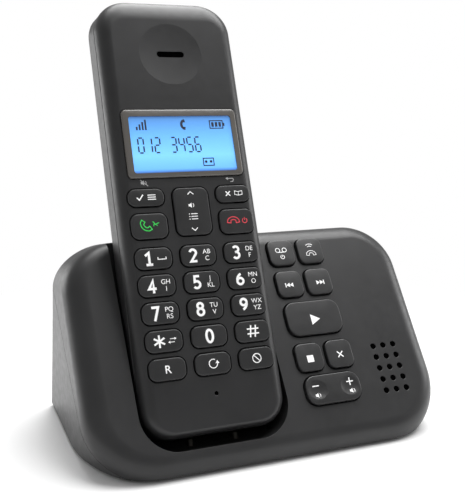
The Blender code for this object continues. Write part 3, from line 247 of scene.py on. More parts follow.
# How finely curves are cut
FACE_CORNER_STEPS = 22
FACE_ROUND_STEPS = 12
HANDSET_CORNER_STEPS = 18
HANDSET_ROUND_STEPS = 12
KEY_CORNER_STEPS = 8
EDGE_STEPS = 5
ROUND_SIDES = 32
HOLE_SIDES = 20
SHARP_ANGLE = math.radians(35)


def frame_matrix(tilt, origin):
    """A frame whose X is to the right, Y up the tilted plane and Z out of it toward the person."""
    return Matrix.Translation(origin) @ Matrix.Rotation(math.pi / 2 - tilt, 4, "X")


WORLD = Matrix.Identity(4)
TABLE = Matrix.Translation((0, -ORIGIN_BACK, 0))
FACE = frame_matrix(FACE_TILT, (0, -ORIGIN_BACK, 0))
HAND = frame_matrix(HANDSET_TILT, HANDSET_START)
LOWEST_ROUND = HAND @ Vector((0, BACK_END_ROUND, BACK_END_ROUND - HANDSET_THICK))
CRADLE_FLOOR = LOWEST_ROUND.z - BACK_END_ROUND - GAP


# Outlines

def rounded(left, right, bottom, top, radii, steps):
    """Outline with an arc at each corner: lower right, upper right, upper left, lower left."""
    points = []
    signs = ((1, -1), (1, 1), (-1, 1), (-1, -1))
    for turn, ((sx, sy), radius) in enumerate(zip(signs, radii)):
        centre_x = (right if sx > 0 else left) - sx * radius
        centre_y = (top if sy > 0 else bottom) - sy * radius
        for step in range(steps + 1):
            angle = math.radians(90 * (turn - 1 + step / steps))
            points.append((centre_x + radius * math.cos(angle), centre_y + radius * math.sin(angle)))
    return points


def centred(width, height, radius, steps=KEY_CORNER_STEPS):
    return rounded(-width / 2, width / 2, -height / 2, height / 2, (radius,) * 4, steps)


def circle(radius, sides=ROUND_SIDES):
    turns = [2 * math.pi * side / sides for side in range(sides)]
    return [(radius * math.cos(turn), radius * math.sin(turn)) for turn in turns]


def place(outline, height, shift=(0, 0)):
    return [(x + shift[0], y + shift[1], height) for x, y in outline]


def quarter(steps):
    """The sine of each angle from 0 to a right angle, and what its cosine falls short of 1."""
    angles = [math.pi / 2 * step / steps for step in range(steps + 1)]
    return [(math.sin(angle), 1 - math.cos(angle)) for angle in angles]


def edge_rings(width, height, corner, edge, top, shift):
    """Rings round the rounded upper edge of a plate."""
    rings = []
    for rise, drop in quarter(EDGE_STEPS):
        drop *= edge
        outline = centred(width - 2 * drop, height - 2 * drop, corner - drop)
        rings.append(place(outline, top + edge * (rise - 1), shift))
    return rings


# Solids, each at the origin with its place in its mesh

def new_object(name, data):
    made = bpy.data.objects.new(name, data)
    bpy.context.scene.collection.objects.link(made)
    return made


def mesh_object(shape, name="shape"):
    mesh = bpy.data.meshes.new(name)
    shape.to_mesh(mesh)
    shape.free()
    return new_object(name, mesh)


def loft(rings, matrix=WORLD):
    """A closed solid through rings of points, from the lowest ring to the highest."""
    shape = bmesh.new()
    layers = [[shape.verts.new(matrix @ Vector(point)) for point in ring] for ring in rings]
    for low, high in zip(layers, layers[1:]):
        for index in range(len(low)):
            after = (index + 1) % len(low)
            shape.faces.new((low[index], low[after], high[after], high[index]))
    shape.faces.new(tuple(reversed(layers[0])))
    shape.faces.new(tuple(layers[-1]))
    return mesh_object(shape)


def prism(outline, low, high, matrix=WORLD, shift=(0, 0)):
    return loft([place(outline, low, shift), place(outline, high, shift)], matrix)


def block(left, right, front, back, low, high, matrix=WORLD):
    outline = [(right, front), (right, back), (left, back), (left, front)]
    return prism(outline, low, high, matrix)


def post(radius, low, high, matrix=WORLD, shift=(0, 0), sides=ROUND_SIDES):
    return prism(circle(radius, sides), low, high, matrix, shift)


def side_profile(points, half_width):
    """A solid with the given outline in the YZ plane, drawn across the whole width."""
    turned = Matrix(((0, 0, 1, 0), (1, 0, 0, 0), (0, 1, 0, 0), (0, 0, 0, 1)))
    return prism(points, -half_width, half_width, TABLE @ turned)


def applied(thing):
    """Bakes the modifiers of an object into its mesh."""
    bpy.context.view_layer.update()
    graph = bpy.context.evaluated_depsgraph_get()
    baked = bpy.data.meshes.new_from_object(thing.evaluated_get(graph))
    thing.modifiers.clear()
    thing.data = baked
    return thing


def combine(target, tools, operation):
    for tool in tools:
        modifier = target.modifiers.new("combine", "BOOLEAN")
        modifier.operation = operation
        modifier.object = tool
        modifier.solver = "EXACT"
        applied(target)
        bpy.data.objects.remove(tool, do_unlink=True)
    return target


def cut(target, *tools):
    return combine(target, tools, "DIFFERENCE")


def join(target, *tools):
    return combine(target, tools, "UNION")


def common(target, *tools):
    return combine(target, tools, "INTERSECT")


def bevelled(thing, width, segments, limit=30):
    """Rounds every edge sharper than the limit in degrees."""
    bevel = thing.modifiers.new("edges", "BEVEL")
    bevel.width = width
    bevel.segments = segments
    bevel.limit_method = "ANGLE"
    bevel.angle_limit = math.radians(limit)
    return applied(thing)


def flared(outline_at, low, rim, matrix, shift=(0, 0)):
    """A cutter for an opening whose rim is rounded where it comes out at the frame's own plane."""
    rings = [place(outline_at(0), low, shift), place(outline_at(0), -rim, shift)]
    for step in range(1, EDGE_STEPS):
        angle = math.pi / 2 * step / EDGE_STEPS
        rings.append(place(outline_at(rim * (1 - math.cos(angle))), rim * (math.sin(angle) - 1), shift))
    rings.append(place(outline_at(rim), rim * (1 - math.sin(angle)), shift))
    rings.append(place(outline_at(rim), OVERRUN, shift))
    return loft(rings, matrix)


def bowl(radius, depth, top, matrix, shift):
    """A cutter for a shallow round hollow, which follows its sphere on past the surface."""
    sphere = (radius**2 + depth**2) / (2 * depth)
    rings = []
    for share in BOWL_SHARES:
        reach = radius * share
        down = math.sqrt(sphere**2 - reach**2) - sphere + depth
        rings.append(place(circle(reach), top - down, shift))
    return loft(rings, matrix)


# Copies in rows

def rows_tree():
    """Repeats the mesh that it is given in columns and rows, each with a step of its own."""
    tree = bpy.data.node_groups.new("columns and rows", "GeometryNodeTree")
    sockets = (
        ("First copy", "NodeSocketGeometry"),
        ("Columns", "NodeSocketInt"),
        ("Rows", "NodeSocketInt"),
        ("Column step", "NodeSocketVector"),
        ("Row step", "NodeSocketVector"),
        ("Finish", "NodeSocketMaterial"),
    )
    for name, kind in sockets:
        tree.interface.new_socket(name, in_out="INPUT", socket_type=kind)
    tree.interface.new_socket("Copies", in_out="OUTPUT", socket_type="NodeSocketGeometry")
    given = tree.nodes.new("NodeGroupInput")
    made = tree.nodes.new("NodeGroupOutput")
    copies = given.outputs["First copy"]
    for count, step in (("Columns", "Column step"), ("Rows", "Row step")):
        wanted = {"Count": given.outputs[count], "Offset": given.outputs[step]}
        line = added(tree, "GeometryNodeMeshLine", sources=wanted)
        line.mode = "OFFSET"
        placed = {"Points": line.outputs["Mesh"], "Instance": copies}
        copies = added(tree, "GeometryNodeInstanceOnPoints", sources=placed).outputs["Instances"]
    real = added(tree, "GeometryNodeRealizeInstances", sources={"Geometry": copies})
    finished = {"Geometry": real.outputs["Geometry"], "Material": given.outputs["Finish"]}
    finish = added(tree, "GeometryNodeSetMaterial", sources=finished)
    tree.links.new(finish.outputs["Geometry"], made.inputs["Copies"])
    return tree


def in_rows(thing, columns, rows, column_step, row_step, finish):
    """Turns one shape into columns and rows of it, as a plain mesh."""
    tree = ROWS_TREE
    modifier = thing.modifiers.new("rows", "NODES")
    modifier.node_group = tree
    values = {
        "Columns": columns,
        "Rows": rows,
        "Column step": column_step,
        "Row step": row_step,
        "Finish": finish,
    }
    for socket in tree.interface.items_tree:
        if socket.item_type == "SOCKET" and socket.name in values:
            modifier[socket.identifier] = values[socket.name]
    return applied(thing)


# Finishes

def fed(tree, node, values=(), sources=()):
    """Sets some inputs of a node to plain values and links others to outputs."""
    for name, value in dict(values).items():
        node.inputs[name].default_value = value
    for name, source in dict(sources).items():
        tree.links.new(source, node.inputs[name])
    return node


def added(tree, kind, values=(), sources=()):
    return fed(tree, tree.nodes.new(kind), values, sources)


def new_finish(name):
    """A material, its tree, its shader and the object coordinates that its patterns read."""
    material = bpy.data.materials.new(name)
    material.use_nodes = True
    tree = material.node_tree
    coordinates = added(tree, "ShaderNodeTexCoord")
    return material, tree, tree.nodes["Principled BSDF"], coordinates.outputs["Object"]


def noise(tree, where, scale):
    values = {"Scale": scale, "Detail": NOISE_DETAIL}
    return added(tree, "ShaderNodeTexNoise", values, {"Vector": where}).outputs["Fac"]


def ramp(tree, factor, stops):
    colours = added(tree, "ShaderNodeValToRGB", sources={"Fac": factor})
    elements = colours.color_ramp.elements
    while len(elements) < len(stops):
        elements.new(0.5)
    for element, (position, colour) in zip(elements, stops):
        element.position = position
        element.color = (*colour, 1)
    return colours.outputs["Color"]


def ranged(tree, factor, low, high):
    """The factor, from its usual spread in a noise pattern to the range given."""
    values = {"From Min": NOISE_LOW, "From Max": NOISE_HIGH, "To Min": low, "To Max": high}
    return added(tree, "ShaderNodeMapRange", values, {"Value": factor}).outputs["Result"]


def grained(name, dark, light, roughness, grain=(2600, 0.000004), patch=90, metal=0.0, coat=0.0, shine=0.5):
    """A moulded or cast surface: slightly uneven in colour and gloss, with a fine grain."""
    material, tree, shader, where = new_finish(name)
    scale, depth = grain
    heights = noise(tree, where, scale)
    bump = added(tree, "ShaderNodeBump", {"Strength": 1.0, "Distance": depth}, {"Height": heights})
    sources = {
        "Base Color": ramp(tree, noise(tree, where, patch), ((NOISE_LOW, dark), (NOISE_HIGH, light))),
        "Roughness": ranged(tree, noise(tree, where, patch * GLOSS_PATCHES), *roughness),
        "Normal": bump.outputs["Normal"],
    }
    fed(tree, shader, {"Metallic": metal, "Coat Weight": coat, "Specular IOR Level": shine}, sources)
    return material


def moulded(name, dark, light, roughness):
    """Matt black plastic, which mirrors less than a polished one."""
    return grained(name, dark, light, roughness, shine=PLASTIC_SHINE)


def display_finish():
    """A backlit display: pale blue below the middle, deeper blue at the top and round the edge."""
    material, tree, shader, where = new_finish("backlit display")
    placed = {
        "Location": HAND @ Vector((0, WINDOW_SPOT[1], 0)),
        "Rotation": (math.pi / 2 - HANDSET_TILT, 0, 0),
        "Scale": (WINDOW_HEIGHT,) * 3,
    }
    turned = added(tree, "ShaderNodeMapping", placed, {"Vector": where})
    turned.vector_type = "TEXTURE"
    parts = added(tree, "ShaderNodeSeparateXYZ", sources={"Vector": turned.outputs["Vector"]})
    up = added(tree, "ShaderNodeMath", {1: 0.5}, {0: parts.outputs["Y"]})
    up.operation = "ADD"
    colour = ramp(tree, up.outputs["Value"], DISPLAY_STOPS)
    gloss = ranged(tree, noise(tree, where, 300), 0.16, 0.2)
    values = {"Emission Strength": DISPLAY_GLOW, "Coat Weight": 0.6, "Coat Roughness": 0.05}
    fed(tree, shader, values, {"Base Color": colour, "Emission Color": colour, "Roughness": gloss})
    return material


def print_finish(name, dark, light):
    """Printing ink, a little uneven in its cover."""
    return grained(name, dark, light, (0.42, 0.5), (3000, 0.000002), 700)


def extent(name, matrix=WORLD):
    """Lowest and highest corner of a CAD node, measured in the frame given."""
    inward = matrix.inverted()
    points = [inward @ vertex.co for vertex in NODES[name].data.vertices]
    low = Vector([min(point[axis] for point in points) for axis in range(3)])
    high = Vector([max(point[axis] for point in points) for axis in range(3)])
    return low, high


LENS_LOW, LENS_HIGH = extent("display_lens", HAND)
LENS_MIDDLE = (LENS_LOW + LENS_HIGH) / 2
WINDOW_SPOT = (LENS_MIDDLE.x, LENS_MIDDLE.y - WINDOW_DOWN)

ROWS_TREE = rows_tree()
HANDSET_BLACK = moulded("handset black", (0.012, 0.012, 0.0125), (0.0165, 0.0165, 0.0172), (0.36, 0.43))
BASE_BLACK = moulded("base black", (0.014, 0.014, 0.0145), (0.019, 0.019, 0.0197), (0.34, 0.41))
TRAY_BLACK = moulded("tray black", (0.013, 0.013, 0.0135), (0.018, 0.018, 0.0185), (0.33, 0.4))
DOOR_BLACK = moulded("battery lid black", (0.012, 0.012, 0.0125), (0.017, 0.017, 0.0176), (0.38, 0.45))
CAP_BLACK = moulded("key cap black", (0.013, 0.013, 0.0137), (0.0185, 0.0185, 0.019), (0.34, 0.42))
BASE_CAP_BLACK = moulded("base key black", (0.0145, 0.0145, 0.015), (0.02, 0.02, 0.0205), (0.32, 0.4))
LENS_COLOURS = ((0.075, 0.069, 0.062), (0.095, 0.088, 0.08))
LENS_GREY = grained("display frame grey", *LENS_COLOURS, (0.2, 0.26), (2200, 0.000002), 80, 0, 0.3)
DISPLAY_BLUE = display_finish()
INK_WHITE = print_finish("white print", (0.86, 0.86, 0.86), (0.93, 0.93, 0.93))
INK_GREY = print_finish("grey print", (0.36, 0.36, 0.36), (0.45, 0.45, 0.45))
INK_GREEN = print_finish("green print", (0.02, 0.5, 0.06), (0.04, 0.66, 0.1))
INK_RED = print_finish("red print", (0.55, 0.03, 0.05), (0.7, 0.06, 0.08))
SEGMENT_NAVY = print_finish("display segments", (0.004, 0.01, 0.035), (0.006, 0.014, 0.045))
# Black mesh that reflects nothing: it paints the shade inside the sound openings
MESH_AND_SHADE_BLACK = grained(
    "black mesh and painted shade", (0.0005,) * 3, (0.001,) * 3, (0.85, 0.95), (4000, 0.00002), 900, shine=0.0
)
CARRIED_OVER = (
    (
        ("circuit board", (0.012, 0.11, 0.04), (0.02, 0.16, 0.06), (0.3, 0.4), (1800, 0.00001), 260, 0, 0.4),
        ("base_board", "handset_board", "line_board"),
    ),
    (
        ("key mat rubber", (0.2, 0.2, 0.205), (0.24, 0.24, 0.245), (0.7, 0.85), (1500, 0.00001), 120),
        ("base_key_mat", "handset_key_mat"),
    ),
    (
        ("foot rubber", (0.018, 0.018, 0.018), (0.026, 0.026, 0.026), (0.75, 0.9), (1500, 0.00002), 150),
        ("rubber_foot_1", "rubber_foot_2", "rubber_foot_3", "rubber_foot_4"),
    ),
    (
        ("plated steel", (0.5, 0.5, 0.52), (0.62, 0.62, 0.64), (0.22, 0.36), (1200, 0.000004), 500, 1.0),
        ("base_screw_1", "base_screw_2", "handset_screw_1", "handset_screw_2")
        + ("microphone", "battery_bridge", "battery_terminals"),
    ),
    (
        ("gold plating", (0.62, 0.42, 0.14), (0.72, 0.51, 0.2), (0.2, 0.3), (1200, 0.000003), 500, 1.0),
        ("charge_pads",),
    ),
    # Nickel pins, darkened almost to black: painted shade for the shadow deep in the cradle
    (
        ("nickel with painted shade", (0.03, 0.028, 0.025), (0.045, 0.042, 0.038), (0.4, 0.5))
        + ((1200, 0.000003), 500, 1.0),
        ("cradle_pin_left", "cradle_pin_right"),
    ),
    (
        ("cell sleeve", (0.06, 0.3, 0.13), (0.09, 0.38, 0.17), (0.28, 0.38), (900, 0.000003), 140),
        ("battery_cell_left", "battery_cell_right"),
    ),
    (
        ("speaker cone", (0.012, 0.012, 0.012), (0.022, 0.022, 0.022), (0.6, 0.75), (1400, 0.00002), 300),
        ("loudspeaker", "earpiece", "ringer"),
    ),
    (
        ("display panel", (0.1, 0.3, 0.7), (0.14, 0.38, 0.8), (0.25, 0.35), (900, 0.000002), 120),
        ("display_panel",),
    ),
    (("socket black", (0.014, 0.014, 0.014), (0.02, 0.02, 0.02), (0.3, 0.4)), ("socket_block",)),
)
for finish_details, carried_names in CARRIED_OVER:
    carried_finish = grained(*finish_details)
    for carried_name in carried_names:
        NODES[carried_name].data.materials[0] = carried_finish


def piece(thing, name, finish, slot, *nodes, crease=None):
    """Names a finished shape and hangs it on the body of the nodes that it stands for."""
    thing.name = name
    thing.data.name = name
    thing.data.materials.clear()
    thing.data.materials.append(finish)
    thing.data.shade_smooth()
    thing.data.set_sharp_from_angle(angle=SHARP_ANGLE)
    if crease:
        corners = thing.data.vertices
        for edge in thing.data.edges:
            if all(crease(corners[index].co) for index in edge.vertices):
                edge.use_edge_sharp = True
    weighted = thing.modifiers.new("normals", "WEIGHTED_NORMAL")
    weighted.keep_sharp = True
    applied(thing)
    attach(thing, BODY_OF[nodes[0]])
    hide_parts(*nodes)
    return thing


# Base

def base_ring(inset, shrink, height):
    """The base's outline at one height, drawn in by both amounts, with its top on the falling top wall."""
    margin = inset + shrink
    edge = FACE_ROUND - inset
    turn = edge * math.sin(TOP_LEAN) - FACE_ROUND
    turn_shrink = edge * (1 - math.cos(TOP_LEAN))
    half = BASE_WIDTH / 2 - margin
    high = FACE_END - margin
    if height < turn:
        high = FACE_END - inset - turn_shrink + (turn - height) * math.tan(TOP_LEAN)
    depth_share = max(0, turn - height) / (turn + BASE_DEPTH)
    upper = UPPER_CORNER - margin - (UPPER_CORNER - REAR_CORNER) * depth_share
    radii = (LOWER_CORNER - margin, upper, upper, LOWER_CORNER - margin)
    return place(rounded(-half, half, FACE_START + margin, high, radii, FACE_CORNER_STEPS), height)


def base_prism(inset):
    edge = FACE_ROUND - inset
    rings = [base_ring(inset, 0, -BASE_DEPTH)]
    for rise, drop in quarter(FACE_ROUND_STEPS):
        rings.append(base_ring(inset, edge * drop, edge * rise - FACE_ROUND))
    return loft(rings, FACE)


def rear_at(height):
    return BASE_DEPTH - height * math.tan(REAR_LEAN)


def rear_clip(inset):
    """All that lies above the underside and in front of the leaning rear wall."""
    low = FOOT_HEIGHT + inset
    back = inset / math.cos(REAR_LEAN)
    points = [(-FAR, low), (rear_at(low) - back, low), (rear_at(FAR) - back, FAR), (-FAR, FAR)]
    return side_profile(points, FAR)


def base_solid(inset):
    return common(base_prism(inset), rear_clip(inset))


def base_shell():
    return cut(bevelled(base_solid(0), BASE_EDGE, 4), base_solid(BASE_WALL))


def seam_side(direction):
    """The half of space on one side of the seam, half a gap away from it."""
    along = Vector((math.cos(SEAM_RISE), math.sin(SEAM_RISE)))
    across = Vector((-math.sin(SEAM_RISE), math.cos(SEAM_RISE))) * direction
    start = Vector((SEAM_START, 0)) + across * (GAP / 2)
    points = [start - along * FAR, start + along * FAR]
    points += [points[1] + across * FAR, points[0] + across * FAR]
    if direction < 0:
        points.reverse()
    return side_profile([tuple(point) for point in points], FAR)


def cradle_prism(margin, floor):
    """The U shaped trough along the handset's axis, above a level floor."""
    half = HANDSET_WIDTH / 2 + CRADLE_SIDE_GAP + margin
    radii = (CRADLE_CORNER + margin,) * 4
    outline = rounded(-half, half, -CRADLE_END_GAP - margin, HANDSET_LENGTH, radii, HANDSET_CORNER_STEPS)
    back = -HANDSET_THICK - CRADLE_BACK_GAP - margin
    trough = prism(outline, back, HANDSET_LENGTH, HAND)
    return common(trough, block(-FAR, FAR, -FAR, FAR, floor, FAR))


def cradle_walls():
    walls = cradle_prism(CRADLE_WALL, CRADLE_FLOOR - CRADLE_WALL)
    return common(walls, base_solid(BASE_WALL / 2))


def contact_pin_holes():
    """Holes along the handset's axis for the two sprung charging pins."""
    up_handset = HAND @ Matrix.Rotation(-math.pi / 2, 4, "X")
    low = -CRADLE_END_GAP - CRADLE_WALL - OVERRUN
    spots = [(side * PAD_ACROSS, PIN_DEPTH_IN) for side in (-1, 1)]
    return [post(PIN_RADIUS + GAP, low, 0, up_handset, spot) for spot in spots]


def rim_softened(cover):
    """Rounds the edge where the trough comes out through the base's skin."""
    shape = bmesh.new()
    shape.from_mesh(cover.data)
    inward = HAND.inverted()
    half = HANDSET_WIDTH / 2 + CRADLE_SIDE_GAP
    rim = []
    for edge in shape.edges:
        if len(edge.link_faces) != 2 or not edge.is_convex:
            continue
        if edge.calc_face_angle(0) < math.radians(25):
            continue
        spots = [inward @ vertex.co for vertex in edge.verts]
        on_side = all(abs(abs(spot.x) - half) < 0.00001 for spot in spots)
        on_end = all(trough_end_distance(spot) < 0.00002 for spot in spots)
        if (on_side or on_end) and all(spot.z > -HANDSET_THICK for spot in spots):
            rim.append(edge)
    bmesh.ops.bevel(
        shape, geom=rim, offset=CRADLE_RIM, segments=3, profile=0.5, affect="EDGES", clamp_overlap=True
    )
    shape.to_mesh(cover.data)
    shape.free()
    return cover


def trough_end_distance(spot):
    """How far a point lies from the rounded lower end of the trough, in the handset's plane."""
    centre_x = HANDSET_WIDTH / 2 + CRADLE_SIDE_GAP - CRADLE_CORNER
    centre_y = CRADLE_CORNER - CRADLE_END_GAP
    if spot.y > centre_y:
        return FAR
    across = max(abs(spot.x) - centre_x, 0)
    return abs(math.hypot(across, centre_y - spot.y) - CRADLE_CORNER)


def key_forms(names, matrix, ears_across):
    """Place, width, height and proud face of caps, read from their CAD nodes."""
    forms = {}
    for name in names:
        low, high = extent(name, matrix)
        size = high - low
        if ears_across:
            size.x -= 2 * FLANGE_REACH
        else:
            size.y -= 2 * FLANGE_REACH
        forms[name] = ((low + high) / 2, size.x, size.y, high.z)
    return forms


def key_corner(name):
    if name in ("key_play", "volume_rocker"):
        return WIDE_KEY_CORNER
    return BASE_KEY_CORNER if name in BASE_KEYS else KEY_CORNER


def key_hole(name, form, matrix):
    middle, width, height, _ = form
    corner = key_corner(name)

    def outline_at(growth):
        room = 2 * (KEY_SIDE_GAP + growth)
        return centred(width + room, height + room, corner + KEY_SIDE_GAP + growth)

    return flared(outline_at, -OVERRUN, RIM_ROUND, matrix, (middle.x, middle.y))


def in_speaker_rows(shape_at, finish):
    """The shape made at the place of the first loudspeaker hole, in the holes' columns and rows."""
    low, high = extent("loudspeaker", FACE)
    middle = (low + high) / 2
    pitch = SPEAKER_HOLE_PITCH
    first = (middle.x - (SPEAKER_COLUMNS - 1) / 2 * pitch, middle.y - (SPEAKER_ROWS - 1) / 2 * pitch)
    across = FACE.to_3x3() @ Vector((pitch, 0, 0))
    up = FACE.to_3x3() @ Vector((0, pitch, 0))
    return in_rows(shape_at(first), SPEAKER_COLUMNS, SPEAKER_ROWS, across, up, finish)


def round_hole(radius, matrix, spot):
    return flared(lambda growth: circle(radius + growth, HOLE_SIDES), -OVERRUN, RIM_ROUND, matrix, spot)


def make_cover():
    cover = common(base_shell(), seam_side(1))
    join(cover, cradle_walls())
    cut(cover, cradle_prism(0, CRADLE_FLOOR))
    rim_softened(cover)
    cut(cover, *contact_pin_holes())
    cut(cover, *[key_hole(name, form, FACE) for name, form in BASE_KEYS.items()])
    cut(cover, in_speaker_rows(lambda first: round_hole(SPEAKER_HOLE_RADIUS, FACE, first), BASE_BLACK))
    piece(cover, "base_upper_shell", BASE_BLACK, "matt_black", "base_cover")


def socket_mouth(across, width, margin):
    """The opening of a socket, which runs out through the rear wall."""
    half = width / 2 + margin
    low = SOCKET_LOW + SOCKET_WALL - margin
    front = rear_at(SOCKET_LOW) - BASE_WALL - MOUTH_DEPTH
    return block(across - half, across + half, front, FAR, low, low + MOUTH_HEIGHT + 2 * margin, TABLE)


def make_tray():
    tray = common(base_shell(), seam_side(-1))
    for spot in BASE_SCREW_SPOTS:
        join(tray, post(CUP_RADIUS, FOOT_HEIGHT + BASE_WALL / 2, CUP_TOP, TABLE, spot))
        cut(tray, post(BASE_SCREW_HEAD_RADIUS + GAP, -OVERRUN, CUP_TOP - BASE_WALL, TABLE, spot))
        cut(tray, post(BASE_SCREW_RADIUS + GAP, -OVERRUN, CUP_TOP + OVERRUN, TABLE, spot))
    for spot in FOOT_SPOTS:
        cut(tray, post(FOOT_RADIUS + GAP, -OVERRUN, FOOT_HEIGHT + FOOT_SINK + GAP, TABLE, spot))
    for across, width in MOUTHS:
        cut(tray, socket_mouth(across, width, GAP))
    piece(tray, "base_lower_shell", TRAY_BLACK, "satin_black", "base_tray")


# Key caps

def cap(form, corner, matrix):
    """A key cap with a rounded edge and a slightly crowned face."""
    middle, width, height, top = form
    shift = (middle.x, middle.y)
    rings = [place(centred(width, height, corner), -KEY_LOW, shift)]
    rings += edge_rings(width, height, corner, CAP_EDGE, top - CAP_CROWN, shift)
    for share in CROWN_SHARES[1:]:
        outline = centred(
            share * (width - 2 * CAP_EDGE), share * (height - 2 * CAP_EDGE), share * (corner - CAP_EDGE)
        )
        rings.append(place(outline, top - CAP_CROWN * share**2, shift))
    return loft(rings, matrix)


def make_caps():
    for name, form in HANDSET_KEYS.items():
        made = cap(form, key_corner(name), HAND)
        CAPS[name] = piece(made, f"cap_{name}", CAP_BLACK, "key_black", name)
    for name, form in BASE_KEYS.items():
        made = cap(form, key_corner(name), FACE)
        if name == "volume_rocker":
            middle, width, _, top = form
            reach = width / 2 - DIMPLE_RADIUS - CAP_EDGE
            for side in (-1, 1):
                spot = (middle.x + side * reach, middle.y)
                cut(made, bowl(DIMPLE_RADIUS, DIMPLE_DEPTH, top - CAP_CROWN / 2, FACE, spot))
        CAPS[name] = piece(made, f"cap_{name}", BASE_CAP_BLACK, "key_black", name)


# Handset

def handset_outline(inset, side=0, top=0, bottom=0, top_corner=TOP_CORNER):
    """The handset's outline, drawn in evenly by the inset and then further at the sides and ends."""
    half = HANDSET_WIDTH / 2 - inset - side
    upper = top_corner - inset - (side + top) / 2
    lower = BOTTOM_CORNER - inset - (side + bottom) / 2
    radii = (lower, upper, upper, lower)
    return rounded(-half, half, inset + bottom, HANDSET_LENGTH - inset - top, radii, HANDSET_CORNER_STEPS)


def half_rings(inset, rounds, depth_of, top_corner):
    """Rings of one half, drawn in at the sides, the top and the bottom by a share of each round."""
    rings = []
    for rise, drop in quarter(HANDSET_ROUND_STEPS):
        outline = handset_outline(inset, *[(reach - inset) * drop for reach in rounds], top_corner)
        rings.append(place(outline, depth_of(rise)))
    return rings


def back_rings(inset):
    """The rings of the rounded back, from its flat face out to the sides."""
    rounds = (BACK_SIDE_ROUND, BACK_TOP_ROUND, BACK_END_ROUND)

    def depth_of(rise):
        return BACK_END_ROUND - HANDSET_THICK - (BACK_END_ROUND - inset) * rise

    return half_rings(inset, rounds, depth_of, BACK_TOP_CORNER)[::-1]


def front_rings(inset):
    """The rings of the rounded front, from the parting line up to its flat face."""
    rounds = (FRONT_SIDE_ROUND, FRONT_TOP_ROUND, FRONT_BOTTOM_ROUND)

    def depth_of(rise):
        return (PARTING_DEPTH - inset) * rise - PARTING_DEPTH

    return half_rings(inset, rounds, depth_of, TOP_CORNER)


def handset_inside():
    return loft(back_rings(HANDSET_WALL) + front_rings(HANDSET_WALL), HAND)


def front_half():
    foot = GAP / 2 - PARTING_DEPTH
    rings = [
        place(handset_outline(PARTING_EDGE), foot),
        place(handset_outline(0), foot + PARTING_EDGE),
    ]
    return cut(loft(rings + front_rings(0)[1:], HAND), handset_inside())


def rear_half():
    head = -GAP / 2 - PARTING_DEPTH
    rings = [
        place(handset_outline(0), head - PARTING_EDGE),
        place(handset_outline(PARTING_EDGE), head),
    ]
    return cut(loft(back_rings(0) + rings, HAND), handset_inside())


def make_front():
    front = front_half()
    size = LENS_HIGH - LENS_LOW
    spot = (LENS_MIDDLE.x, LENS_MIDDLE.y)
    pocket = centred(size.x + 2 * GAP, size.y + 2 * GAP, LENS_CORNER + GAP)
    cut(front, prism(pocket, LENS_LOW.z - GAP, OVERRUN, HAND, spot))
    window = centred(WINDOW_WIDTH, WINDOW_HEIGHT, WINDOW_CORNER)
    cut(front, prism(window, -OVERRUN, OVERRUN, HAND, WINDOW_SPOT))
    cut(front, bowl(DISH_RADIUS, DISH_DEPTH, 0, HAND, (0, EAR_UP)))

    def ear_slot(growth):
        height = EAR_SLOT_HEIGHT + 2 * growth
        return centred(EAR_SLOT_WIDTH + 2 * growth, height, EAR_SLOT_ROUND * height)

    cut(front, prism(ear_slot(0), -OVERRUN, OVERRUN, HAND, (0, EAR_UP)))
    cut(front, round_hole(MIC_HOLE_RADIUS, HAND, (0, MIC_UP)))
    cut(front, *[key_hole(name, form, HAND) for name, form in HANDSET_KEYS.items()])
    inward = HAND.inverted()

    def on_dish_rim(spot):
        spot = inward @ spot
        beyond = math.hypot(spot.x, spot.y - EAR_UP) - DISH_RADIUS
        return abs(spot.z) < RIM_MATCH and abs(beyond) < RIM_MATCH

    names = ("handset_front_shell", HANDSET_BLACK, "matt_black", "handset_front")
    return piece(front, *names, crease=on_dish_rim)


